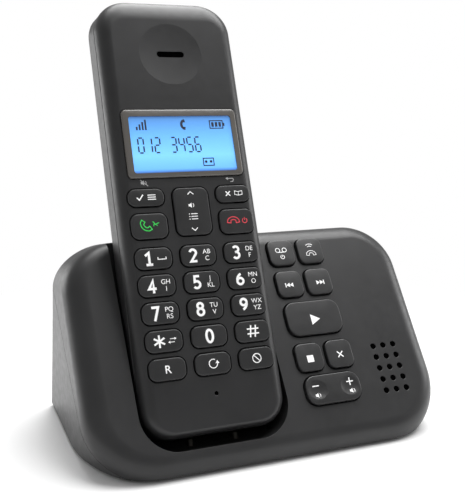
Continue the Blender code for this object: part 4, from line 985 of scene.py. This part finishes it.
def make_rear():
    rear = rear_half()
    skin = HANDSET_WALL / 2 - HANDSET_THICK
    half = BAY_WIDTH / 2
    bay_end = BAY_LOW + BAY_LENGTH
    door_at = (0, DOOR_MIDDLE)

    def door_outline(margin):
        return centred(DOOR_WIDTH + 2 * margin, DOOR_LENGTH + 2 * margin, DOOR_CORNER + margin)

    wall = BAY_WALL
    join(rear, block(-half - wall, half + wall, BAY_LOW - wall, bay_end + wall, skin, BAY_FLOOR + wall, HAND))
    ledge = DOOR_THICK + GAP + wall - HANDSET_THICK
    join(rear, prism(door_outline(GAP + wall), skin, ledge, HAND, door_at))
    screws = ((-SCREW_ACROSS, SCREW_UP), (SCREW_ACROSS, SCREW_UP))
    for spot in screws:
        join(rear, post(SCREW_BOSS_RADIUS, skin, -PARTING_DEPTH - GAP / 2, HAND, spot))
    cut(rear, block(-half, half, BAY_LOW, bay_end, -FAR, BAY_FLOOR, HAND))
    cut(rear, prism(door_outline(GAP), -FAR, DOOR_THICK + GAP - HANDSET_THICK, HAND, door_at))
    for spot in screws:
        cut(rear, post(SCREW_HEAD_RADIUS + GAP, -FAR, SCREW_SEAT - HANDSET_THICK, HAND, spot))
        cut(rear, post(SCREW_SHANK_RADIUS + GAP, -FAR, 0, HAND, spot))
    for side in (-1, 1):
        middle = side * PAD_ACROSS
        wide = PAD_WIDTH / 2 + GAP
        stem = PAD_STEM / 2 + GAP
        low = -PAD_START - PAD_LENGTH - GAP
        cut(rear, block(middle - wide, middle + wide, -OVERRUN, PAD_THICK + GAP, low, GAP - PAD_START, HAND))
        depths = (-PIN_DEPTH_IN - stem, stem - PIN_DEPTH_IN)
        cut(rear, block(middle - stem, middle + stem, 0, OVERRUN, *depths, HAND))
    slot = centred(RINGER_SLOT_LENGTH, RINGER_SLOT_WIDTH, SLOT_ROUND * RINGER_SLOT_WIDTH)
    lowest = RINGER_UP - (RINGER_SLOT_COUNT - 1) / 2 * RINGER_SLOT_PITCH
    slots = prism(slot, -2 * HANDSET_THICK, OVERRUN - HANDSET_THICK, HAND, (0, lowest))
    up = HAND.to_3x3() @ Vector((0, RINGER_SLOT_PITCH, 0))
    cut(rear, in_rows(slots, 1, RINGER_SLOT_COUNT, Vector(), up, HANDSET_BLACK))
    piece(rear, "handset_rear_shell", HANDSET_BLACK, "satin_black", "handset_rear")


def make_door():
    own = HAND @ Matrix.Translation((0, DOOR_MIDDLE, 0))
    outer = -HANDSET_THICK
    margin = 2 * DOOR_EDGE
    outline = centred(DOOR_WIDTH, DOOR_LENGTH, DOOR_CORNER)
    rings = [
        place(centred(DOOR_WIDTH - margin, DOOR_LENGTH - margin, DOOR_CORNER - DOOR_EDGE), outer),
        place(outline, outer + DOOR_EDGE),
        place(outline, outer + DOOR_THICK),
    ]
    door = loft(rings, own)
    first = DOOR_LENGTH / 2 - DOOR_CORNER - GRIP_WIDTH / 2
    groove = centred(GRIP_LENGTH, GRIP_WIDTH, SLOT_ROUND * GRIP_WIDTH)
    grooves = prism(groove, 2 * outer, outer + GRIP_DEPTH, own, (0, first))
    down = HAND.to_3x3() @ Vector((0, -GRIP_PITCH, 0))
    cut(door, in_rows(grooves, 1, GRIP_COUNT, Vector(), down, DOOR_BLACK))
    piece(door, "battery_lid", DOOR_BLACK, "satin_black", "battery_door")


def make_lens():
    """The raised grey frame and the lit display that lies a little below it."""
    size = LENS_HIGH - LENS_LOW
    spot = (LENS_MIDDLE.x, LENS_MIDDLE.y)
    top = LENS_HIGH.z
    rings = [place(centred(size.x, size.y, LENS_CORNER), LENS_LOW.z, spot)]
    rings += edge_rings(size.x, size.y, LENS_CORNER, LENS_EDGE, top - LENS_CROWN, spot)
    rings.append(place(centred(0.9 * size.x, 0.85 * size.y, LENS_CORNER / 2), top, spot))
    lens = loft(rings, HAND)
    glass_top = top - GLASS_SINK
    floor = glass_top - GLASS_THICK - GLASS_GAP
    window = centred(WINDOW_WIDTH, WINDOW_HEIGHT, WINDOW_CORNER)
    cut(lens, prism(window, floor, OVERRUN, HAND, WINDOW_SPOT))
    piece(lens, "display_frame", LENS_GREY, "lens", "display_lens")
    margin = 2 * GLASS_GAP
    outline = centred(WINDOW_WIDTH - margin, WINDOW_HEIGHT - margin, WINDOW_CORNER - GLASS_GAP)
    glass = prism(outline, glass_top - GLASS_THICK, glass_top, HAND, WINDOW_SPOT)
    piece(glass, "display_glass", DISPLAY_BLUE, "display", "display_lens")
    return glass


BASE_KEY_NAMES = (
    "key_answer_on_off",
    "key_find_handset",
    "key_skip_back",
    "key_skip_forward",
    "key_play",
    "key_stop",
    "key_delete",
)
BASE_KEYS = key_forms((*BASE_KEY_NAMES, "volume_rocker"), FACE, False)
HANDSET_KEY_NAMES = [
    name for name in NODES if name.startswith("key_") and name not in BASE_KEY_NAMES
]
HANDSET_KEYS = key_forms(sorted(HANDSET_KEY_NAMES), HAND, False)
HANDSET_KEYS.update(key_forms(["navigation_rocker"], HAND, True))


def make_linings():
    """Black mesh a little way down each sound opening, near black and without shine: painted shade that keeps
    the openings dark.
    """
    slot = centred(EAR_SLOT_WIDTH - LINING_GAP, EAR_SLOT_HEIGHT - LINING_GAP, EAR_SLOT_HEIGHT * SLOT_ROUND)
    ear = prism(slot, -LINING_DEEP, -DISH_DEPTH - LINING_SINK, HAND, (0, EAR_UP))
    piece(ear, "ear_slot_mesh", MESH_AND_SHADE_BLACK, "matt_black", "handset_front")
    mic = post(MIC_HOLE_RADIUS - LINING_GAP / 2, -LINING_DEEP, -LINING_SINK, HAND, (0, MIC_UP))
    piece(mic, "microphone_mesh", MESH_AND_SHADE_BLACK, "matt_black", "handset_front")
    radius = SPEAKER_HOLE_RADIUS - LINING_GAP / 2

    def plug_at(first):
        return post(radius, -LINING_DEEP, -LINING_SINK, FACE, first, HOLE_SIDES)

    plugs = in_speaker_rows(plug_at, MESH_AND_SHADE_BLACK)
    piece(plugs, "loudspeaker_mesh", MESH_AND_SHADE_BLACK, "matt_black", "base_cover")


CAPS = {}

make_cover()
make_tray()
make_caps()
FRONT_SHELL = make_front()
make_rear()
make_door()
DISPLAY_GLASS = make_lens()
make_linings()


# Printed marks: drawn flat in millimetres from the middle of their place, then laid on the surface

def filled(sheet, outline, at=(0, 0)):
    sheet.faces.new([sheet.verts.new(((x + at[0]) * MM, (y + at[1]) * MM, 0)) for x, y in outline])


def bar(sheet, left, right, bottom, top):
    filled(sheet, ((left, bottom), (right, bottom), (right, top), (left, top)))


def stroked(sheet, line, width, at=(0, 0), closed=False):
    """A line of even width through the points, mitred at its corners."""
    points = [Vector(point) + Vector(at) for point in line]
    pairs = []
    for index, point in enumerate(points):
        ways = []
        if closed or index:
            ways.append((point - points[index - 1]).normalized())
        if closed or index < len(points) - 1:
            ways.append((points[(index + 1) % len(points)] - point).normalized())
        way = sum(ways, Vector((0, 0))).normalized()
        side = Vector((-way.y, way.x)) * (width / 2 / max(0.5, way.dot(ways[0])))
        spots = [point + side * turn for turn in (-1, 1)]
        pairs.append([sheet.verts.new((spot.x * MM, spot.y * MM, 0)) for spot in spots])
    if closed:
        pairs.append(pairs[0])
    for (right, left), (next_right, next_left) in zip(pairs, pairs[1:]):
        sheet.faces.new((right, next_right, next_left, left))


def arc(radius, start, end, at=(0, 0), steps=14):
    """Points along an arc between two angles in degrees."""
    turns = [math.radians(start + (end - start) * step / steps) for step in range(steps + 1)]
    return [(at[0] + radius * math.cos(turn), at[1] + radius * math.sin(turn)) for turn in turns]


def lettered(sheet, words, height, at, bold=0.0):
    """Characters of the given height, with the middle of their foot at the place given."""
    curve = bpy.data.curves.new("characters", "FONT")
    curve.body = words
    curve.align_x = "CENTER"
    curve.offset = bold
    thing = new_object("characters", curve)
    bpy.context.view_layer.update()
    drawn = bpy.data.meshes.new_from_object(thing.evaluated_get(bpy.context.evaluated_depsgraph_get()))
    scale = height / CAPITAL_SHARE
    spots = [(at[0] + vertex.co.x * scale, at[1] + vertex.co.y * scale) for vertex in drawn.vertices]
    corners = [sheet.verts.new((x * MM, y * MM, 0)) for x, y in spots]
    for polygon in drawn.polygons:
        sheet.faces.new([corners[index] for index in polygon.vertices])
    bpy.data.objects.remove(thing, do_unlink=True)


def numeral(sheet, digit, middle):
    """A bold digit, drawn with strokes about its middle."""
    for closed, line in NUMERALS[digit]:
        sized = [
            [NUMERAL_SIZE * (value - centre) + to for value, centre, to in zip(point, NUMERAL_MIDDLE, middle)]
            for point in line
        ]
        stroked(sheet, sized, NUMERAL_SIZE * NUMERAL_STROKE, closed=closed)


def receiver(sheet, size, at, turn, width):
    """A telephone receiver: two ends joined by a curved grip, in outline or filled."""
    outer = arc(1.25, 143, 37, (0, -0.7))
    inner = arc(0.8, 57, 123, (0, -0.75))
    right = [(1.12, -0.42), (0.5, -0.52)]
    left = [(-0.5, -0.52), (-1.12, -0.42)]
    angle = math.radians(turn)
    points = []
    for x, y in outer + right + inner + left:
        points.append((
            at[0] + size * (x * math.cos(angle) - y * math.sin(angle)),
            at[1] + size * (x * math.sin(angle) + y * math.cos(angle)),
        ))
    if width:
        stroked(sheet, points, width, closed=True)
    else:
        filled(sheet, points)


NUMERAL_SIZE = 1.13
NUMERAL_STROKE = 0.74
NUMERAL_MIDDLE = (1.3, 2.15)
ZERO_TURNS = [0.3 * step for step in range(21)]
NUMERALS = {
    "0": ((True, [(1.3 + 0.98 * math.cos(turn), 2.15 + 1.8 * math.sin(turn)) for turn in ZERO_TURNS]),),
    "1": ((False, ((0.35, 3.0), (1.5, 3.85), (1.5, 0.3))), (False, ((0.5, 0.34), (2.5, 0.34)))),
    "2": ((False, arc(0.95, 165, -30, (1.25, 2.97)) + [(0.5, 0.36), (2.35, 0.36)]),),
    "3": (
        (False, arc(0.85, 150, -90, (1.2, 3.07)) + [(0.85, 2.22)]),
        (False, [(0.85, 2.22)] + arc(0.95, 90, -150, (1.2, 1.27))),
    ),
    "4": ((False, ((1.75, 0), (1.75, 3.75), (0.4, 1.3), (2.6, 1.3))),),
    "5": ((False, [(2.2, 3.92), (0.75, 3.92), (0.65, 2.3)] + arc(1.02, 95, -145, (1.2, 1.4))),),
    "6": ((True, arc(0.95, 0, 345, (1.3, 1.32), 20)), (False, arc(2.1, 112, 180, (2.46, 1.55)))),
    "7": ((False, ((0.3, 3.92), (2.3, 3.92), (1.0, 0))),),
    "8": ((True, arc(0.82, 0, 345, (1.3, 3.12), 20)), (True, arc(0.97, 0, 345, (1.3, 1.34), 20))),
    "9": ((True, arc(0.95, 0, 345, (1.3, 2.98), 20)), (False, arc(2.1, -68, 0, (0.14, 2.75)))),
}


def chevron(sheet, at, turn):
    stroked(sheet, ((-1.05, -0.45 * turn), (0, 0.5 * turn), (1.05, -0.45 * turn)), 0.3, at)


def cross(sheet, reach, width, at):
    stroked(sheet, ((-reach, -reach), (reach, reach)), width, at)
    stroked(sheet, ((-reach, reach), (reach, -reach)), width, at)


def arrowhead(sheet, at, size, turn):
    filled(sheet, ((0, -0.5 * size), (0, 0.5 * size), (turn * 0.8 * size, 0))[::turn], at)


def sounder(sheet, at, size):
    """A small loudspeaker seen from the side, with one wave."""
    x, y = at
    outline = ((-1, -0.4), (-0.5, -0.4), (0.1, -0.9), (0.1, 0.9), (-0.5, 0.4), (-1, 0.4))
    filled(sheet, [(x + px * size, y + py * size) for px, py in outline])
    stroked(sheet, arc(0.85 * size, -45, 45, at), 0.22 * size)


def segment_digit(sheet, digit, left, foot, size):
    """One digit of a seven segment display, with its foot at the left and height given."""
    wide, tall = size
    half = tall / 2
    ends = {
        "a": ((0, tall), (wide, tall)),
        "b": ((wide, tall), (wide, half)),
        "c": ((wide, half), (wide, 0)),
        "d": ((0, 0), (wide, 0)),
        "e": ((0, half), (0, 0)),
        "f": ((0, tall), (0, half)),
        "g": ((0, half), (wide, half)),
    }
    for letter in SEGMENTS[digit]:
        start, end = (Vector(point) for point in ends[letter])
        way = (end - start).normalized() * 0.3
        stroked(sheet, (start + way, end - way), 0.5, (left, foot))


def level_bars(ups, half, *spans):
    """Steps for rows of flat bars, each row at its height with the same left and right ends."""
    return [(bar, left, right, up - half, up + half) for up in ups for left, right in spans]


def digit_steps(digit, upper="", lower=""):
    """Steps for a digit, moved left where letters stand beside it in one or two lines."""
    steps = [(numeral, digit, (DIGIT_LEFT if upper else 0, 0))]
    lines = ((upper, LETTERS_UP), (lower, LETTERS_DOWN))
    return steps + [(lettered, words, LETTER_HEIGHT, (LETTERS_RIGHT, up)) for words, up in lines if words]


DIGIT_LEFT = -1.9
LETTER_HEIGHT = 1.55
LETTERS_RIGHT = 2.9
LETTERS_UP = 0.35
LETTERS_DOWN = -1.95
MARKS = {
    "key_menu": [
        (stroked, ((-3.3, 0.0), (-2.5, -0.85), (-1.1, 0.95)), 0.42),
        *level_bars((-0.75, 0, 0.75), 0.15, (0.4, 3.2)),
    ],
    "key_back": [
        (cross, 0.8, 0.38, (-1.9, 0)),
        (stroked, ((2.0, -0.75), (0.6, -0.45), (0.6, 0.85), (2.0, 0.55)), 0.22),
        (stroked, ((2.0, -0.75), (3.4, -0.45), (3.4, 0.85), (2.0, 0.55)), 0.22),
        (bar, 1.9, 2.1, -0.75, 0.55),
    ],
    "key_call": [
        (receiver, 2.05, (-1.6, -0.1), 135, 0.32),
        (stroked, ((1.1, 1.5), (1.9, 0.5), (3.2, 1.0)), 0.28),
        (stroked, ((1.25, -0.15), (1.5, 0.75), (2.6, 0.0)), 0.28),
    ],
    "key_end": [
        (receiver, 2.0, (-1.3, 0.4), 0, 0.32),
        (stroked, arc(0.85, 125, 415, (2.9, 0.0)), 0.28),
        (bar, 2.76, 3.04, 0.1, 1.15),
    ],
    "navigation_rocker": [
        (chevron, (0, 6.3), 1),
        (chevron, (0, -6.3), -1),
        (sounder, (-0.2, 2.0), 1.0),
        *level_bars((-1.0, -1.9, -2.8), 0.14, (-0.7, 1.6), (-1.5, -1.1)),
    ],
    "key_1": [
        (numeral, "1", (DIGIT_LEFT, 0)),
        (stroked, ((1.3, 0.3), (1.3, -0.45), (4.1, -0.45), (4.1, 0.3)), 0.28),
    ],
    "key_2": digit_steps("2", "AB", "C"),
    "key_3": digit_steps("3", "DE", "F"),
    "key_4": digit_steps("4", "GH", "I"),
    "key_5": digit_steps("5", "J", "KL"),
    "key_6": digit_steps("6", "MN", "O"),
    "key_7": digit_steps("7", "PQ", "RS"),
    "key_8": digit_steps("8", "TU", "V"),
    "key_9": digit_steps("9", "WX", "YZ"),
    "key_star": [
        *[(stroked, arc(2.05, turn + 180, turn, steps=1), 0.62, (-1.7, 0)) for turn in (90, 30, 150)],
        (bar, 1.9, 3.4, 0.44, 0.66),
        (arrowhead, (3.4, 0.55), 0.9, 1),
        (bar, 1.9, 3.4, -0.66, -0.44),
        (arrowhead, (1.9, -0.55), 0.9, -1),
    ],
    "key_0": digit_steps("0"),
    "key_hash": [
        (stroked, ((-1.15, -2.0), (-0.55, 2.0)), 0.5),
        (stroked, ((0.55, -2.0), (1.15, 2.0)), 0.5),
        *level_bars((-0.8075, 0.8075), 0.23, (-2.1, 2.1)),
    ],
    "key_recall": [(lettered, "R", 2.5, (0, -1.25), 0.01)],
    "key_redial": [(stroked, arc(1.45, 60, 360), 0.3), (filled, ((0.75, 0.0), (2.15, 0.0), (1.45, 1.05)))],
    "key_do_not_disturb": [
        (stroked, arc(1.5, 0, 344, steps=24), 0.3, (0, 0), True),
        (stroked, ((-1.0, 1.0), (1.0, -1.0)), 0.3),
    ],
    "key_answer_on_off": [
        *[(stroked, arc(0.85, 0, 342, (x, 0.9), 18), 0.26, (0, 0), True) for x in (-1.35, 1.35)],
        (bar, -1.35, 1.35, -0.08, 0.18),
        (stroked, arc(0.75, 125, 415, (0, -1.9)), 0.26),
        (bar, -0.13, 0.13, -1.9, -0.95),
    ],
    "key_find_handset": [
        (receiver, 1.8, (0, -1.2), 0, 0.2),
        *[(stroked, arc(radius, 50, 130, (0, 0.5)), 0.26) for radius in (1.2, 2.1)],
    ],
    "key_skip_back": [
        *[(arrowhead, (x, -0.6), 1.7, -1) for x in (-0.2, 1.2)],
        (bar, -1.95, -1.6, -1.45, 0.25),
    ],
    "key_skip_forward": [
        *[(arrowhead, (x, -0.6), 1.7, 1) for x in (0.2, -1.2)],
        (bar, 1.6, 1.95, -1.45, 0.25),
    ],
    "key_play": [(filled, ((-1.5, -2.9), (2.0, -0.9), (-1.5, 1.1)))],
    "key_stop": [(bar, -1.25, 1.25, -2.0, 0.5)],
    "key_delete": [(cross, 1.05, 0.42, (0, -0.5))],
    "volume_rocker": [
        *level_bars((1.45,), 0.2, (-8.0, -5.4), (5.4, 8.0)),
        (bar, 6.5, 6.9, 0.15, 2.75),
        *[(sounder, (x, -1.9), 1.0) for x in (-6.5, 6.9)],
    ],
}
PLAIN_NUMBER = "012 3456"
DIGIT_SIZE = (1.85, 5.3)
SCREEN = [
    *[(bar, -16.1 + 1.05 * index, -15.5 + 1.05 * index, 5.2, 6.4 + 0.85 * index) for index in range(4)],
    (receiver, 1.75, (0.7, 7.0), 90, 0),
    (stroked, ((10.6, 5.5), (15.4, 5.5), (15.4, 8.3), (10.6, 8.3)), 0.36, (0, 0), True),
    (bar, 15.6, 16.1, 6.3, 7.5),
    *[(bar, 11.2 + 1.35 * index, 12.1 + 1.35 * index, 6.05, 7.75) for index in range(3)],
    *[
        (segment_digit, digit, -16.0 + 2.9 * index, -2.9, DIGIT_SIZE)
        for index, digit in enumerate(PLAIN_NUMBER)
    ],
    (stroked, ((6.4, -8.0), (10.2, -8.0), (10.2, -5.4), (6.4, -5.4)), 0.36, (0, 0), True),
    *[(filled, arc(0.5, 0, 330, (x, -6.6), 11)) for x in (7.4, 9.2)],
]
SHELL_MARKS = {
    "key_menu": [(sounder, (-0.1, 0), 1.0), (stroked, ((-1.2, 1.1), (1.3, -1.1)), 0.26)],
    "key_back": [
        (stroked, ((-0.9, 0.45), (0.9, 0.45), (1.3, 0.1), (0.9, -0.7), (0, -0.7)), 0.26),
        (arrowhead, (-0.8, 0.45), 1.1, -1),
    ],
}
INKS = {"key_call": INK_GREEN, "key_end": INK_RED}


def laid(steps, ink, target, matrix, spot, name, slot, node):
    """Draws a mark, cuts it fine enough to bend and lays it a hair above its target."""
    sheet = bmesh.new()
    for draw, *details in steps:
        draw(sheet, *details)
    bmesh.ops.triangulate(sheet, faces=sheet.faces[:])
    reach = max(max(abs(vertex.co.x), abs(vertex.co.y)) for vertex in sheet.verts)
    for axis in (Vector((1, 0, 0)), Vector((0, 1, 0))):
        for index in range(-int(reach / PRINT_CUT), int(reach / PRINT_CUT) + 1):
            parts = sheet.verts[:] + sheet.edges[:] + sheet.faces[:]
            bmesh.ops.bisect_plane(sheet, geom=parts, plane_co=axis * index * PRINT_CUT, plane_no=axis)
    surface = BVHTree.FromPolygons(
        [vertex.co for vertex in target.data.vertices],
        [polygon.vertices for polygon in target.data.polygons],
    )
    outward = matrix.to_3x3() @ Vector((0, 0, 1))
    for vertex in sheet.verts:
        above = matrix @ Vector((spot[0] + vertex.co.x, spot[1] + vertex.co.y, OVERRUN))
        hit, _, _, _ = surface.ray_cast(above, -outward)
        vertex.co = hit + outward * PRINT_LIFT
    made = mesh_object(sheet, name)
    made.data.materials.append(ink)
    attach(made, BODY_OF[node])


def make_prints():
    for name, steps in MARKS.items():
        forms, matrix = (BASE_KEYS, FACE) if name in BASE_KEYS else (HANDSET_KEYS, HAND)
        ink = INKS.get(name, INK_WHITE)
        laid(steps, ink, CAPS[name], matrix, forms[name][0].xy, f"mark_{name}", "key_black", name)
    names = ("display_segments", "display", "display_lens")
    laid(SCREEN, SEGMENT_NAVY, DISPLAY_GLASS, HAND, WINDOW_SPOT, *names)
    for name, steps in SHELL_MARKS.items():
        spot = HANDSET_KEYS[name][0].xy + Vector((0, FACE_MARK_UP))
        laid(steps, INK_GREY, FRONT_SHELL, HAND, spot, f"mark_above_{name}", "matt_black", "handset_front")


make_prints()


def kept_in_box(shell):
    """The finer arcs pass the solids' coarser ones by a tenth of a millimetre, so their crests go level."""
    for corner in shell.data.vertices:
        corner.co = [min(max(value, least), most) for value, least, most in zip(corner.co, *CAD_BOX)]


for name in ("base_upper_shell", "handset_front_shell", "handset_rear_shell"):
    kept_in_box(bpy.data.objects[name])


# Floor, light and camera

FLOOR_RADIUS = 3.0
FLOOR_SIDES = 64
FLOOR_COLOUR = (0.86, 0.86, 0.86, 1)
FLOOR_FADE = {"From Min": 0.07, "From Max": 0.24}
WORLD_STRENGTH = 0.48
LAMPS = (
    ("lamp overhead", (0.16, 0.12, 0.64), (0, 0, 0.06), 0.75, 0.5, 7.0),
    ("lamp right", (0.8, -0.05, 0.3), (0, 0, 0.06), 0.4, 0.4, 4.0),
    ("lamp back left", (-0.55, 0.75, 0.12), (0, 0, 0.05), 0.6, 0.3, 2.6),
)
CAMERA_SPOT = (-0.10797, -0.26362, 0.11941)
CAMERA_DOWN = math.radians(10.88)
CAMERA_TURN = math.radians(-21.53)
CAMERA_LENS = 57.35
CAMERA_SENSOR = 36
CAMERA_START = 0.01


def mixed(tree, factor, first, second, output):
    """Leads a blend of two shaders to the output."""
    mix = added(tree, "ShaderNodeMixShader", sources={"Fac": factor, 1: first, 2: second})
    tree.links.new(mix.outputs["Shader"], tree.nodes[output].inputs["Surface"])


def white_floor():
    """A pale floor that keeps the shadow and fades into the white background."""
    shape = bmesh.new()
    bmesh.ops.create_circle(shape, cap_ends=True, segments=FLOOR_SIDES, radius=FLOOR_RADIUS)
    floor = mesh_object(shape, "floor")
    material, tree, shader, where = new_finish("pale floor")
    fed(tree, shader, {"Roughness": 0.9, "Specular IOR Level": 0.1, "Base Color": FLOOR_COLOUR})
    floor.data.materials.append(material)
    length = added(tree, "ShaderNodeVectorMath", sources={0: where})
    length.operation = "LENGTH"
    fade = added(tree, "ShaderNodeMapRange", FLOOR_FADE, {"Value": length.outputs["Value"]})
    camera_ray = added(tree, "ShaderNodeLightPath").outputs["Is Camera Ray"]
    seen = added(tree, "ShaderNodeMath", sources={0: fade.outputs["Result"], 1: camera_ray})
    seen.operation = "MULTIPLY"
    glow = added(tree, "ShaderNodeEmission").outputs["Emission"]
    mixed(tree, seen.outputs["Value"], shader.outputs["BSDF"], glow, "Material Output")


def white_world():
    world = bpy.data.worlds.new("studio")
    bpy.context.scene.world = world
    world.use_nodes = True
    tree = world.node_tree
    light = fed(tree, tree.nodes["Background"], {"Color": WHITE, "Strength": WORLD_STRENGTH})
    backdrop = added(tree, "ShaderNodeBackground", {"Color": WHITE})
    seen = added(tree, "ShaderNodeLightPath").outputs["Is Camera Ray"]
    mixed(tree, seen, light.outputs["Background"], backdrop.outputs["Background"], "World Output")


def softbox(name, location, target, width, height, radiance):
    """A soft lamp that faces the target and looks equally bright whatever its size."""
    lamp = bpy.data.lights.new(name, "AREA")
    lamp.shape = "RECTANGLE"
    lamp.size = width
    lamp.size_y = height
    lamp.energy = radiance * math.pi * width * height
    made = new_object(name, lamp)
    made.location = location
    aim = Vector(target) - Vector(location)
    made.rotation_euler = aim.to_track_quat("-Z", "Y").to_euler()


def photo_camera():
    camera = bpy.data.cameras.new("camera")
    camera.lens = CAMERA_LENS
    camera.sensor_width = CAMERA_SENSOR
    camera.clip_start = CAMERA_START
    made = new_object("camera", camera)
    made.location = CAMERA_SPOT
    made.rotation_euler = (math.pi / 2 - CAMERA_DOWN, 0, CAMERA_TURN)
    bpy.context.scene.camera = made


white_floor()
white_world()
for lamp_details in LAMPS:
    softbox(*lamp_details)
photo_camera()
bpy.context.scene.view_settings.view_transform = "Standard"
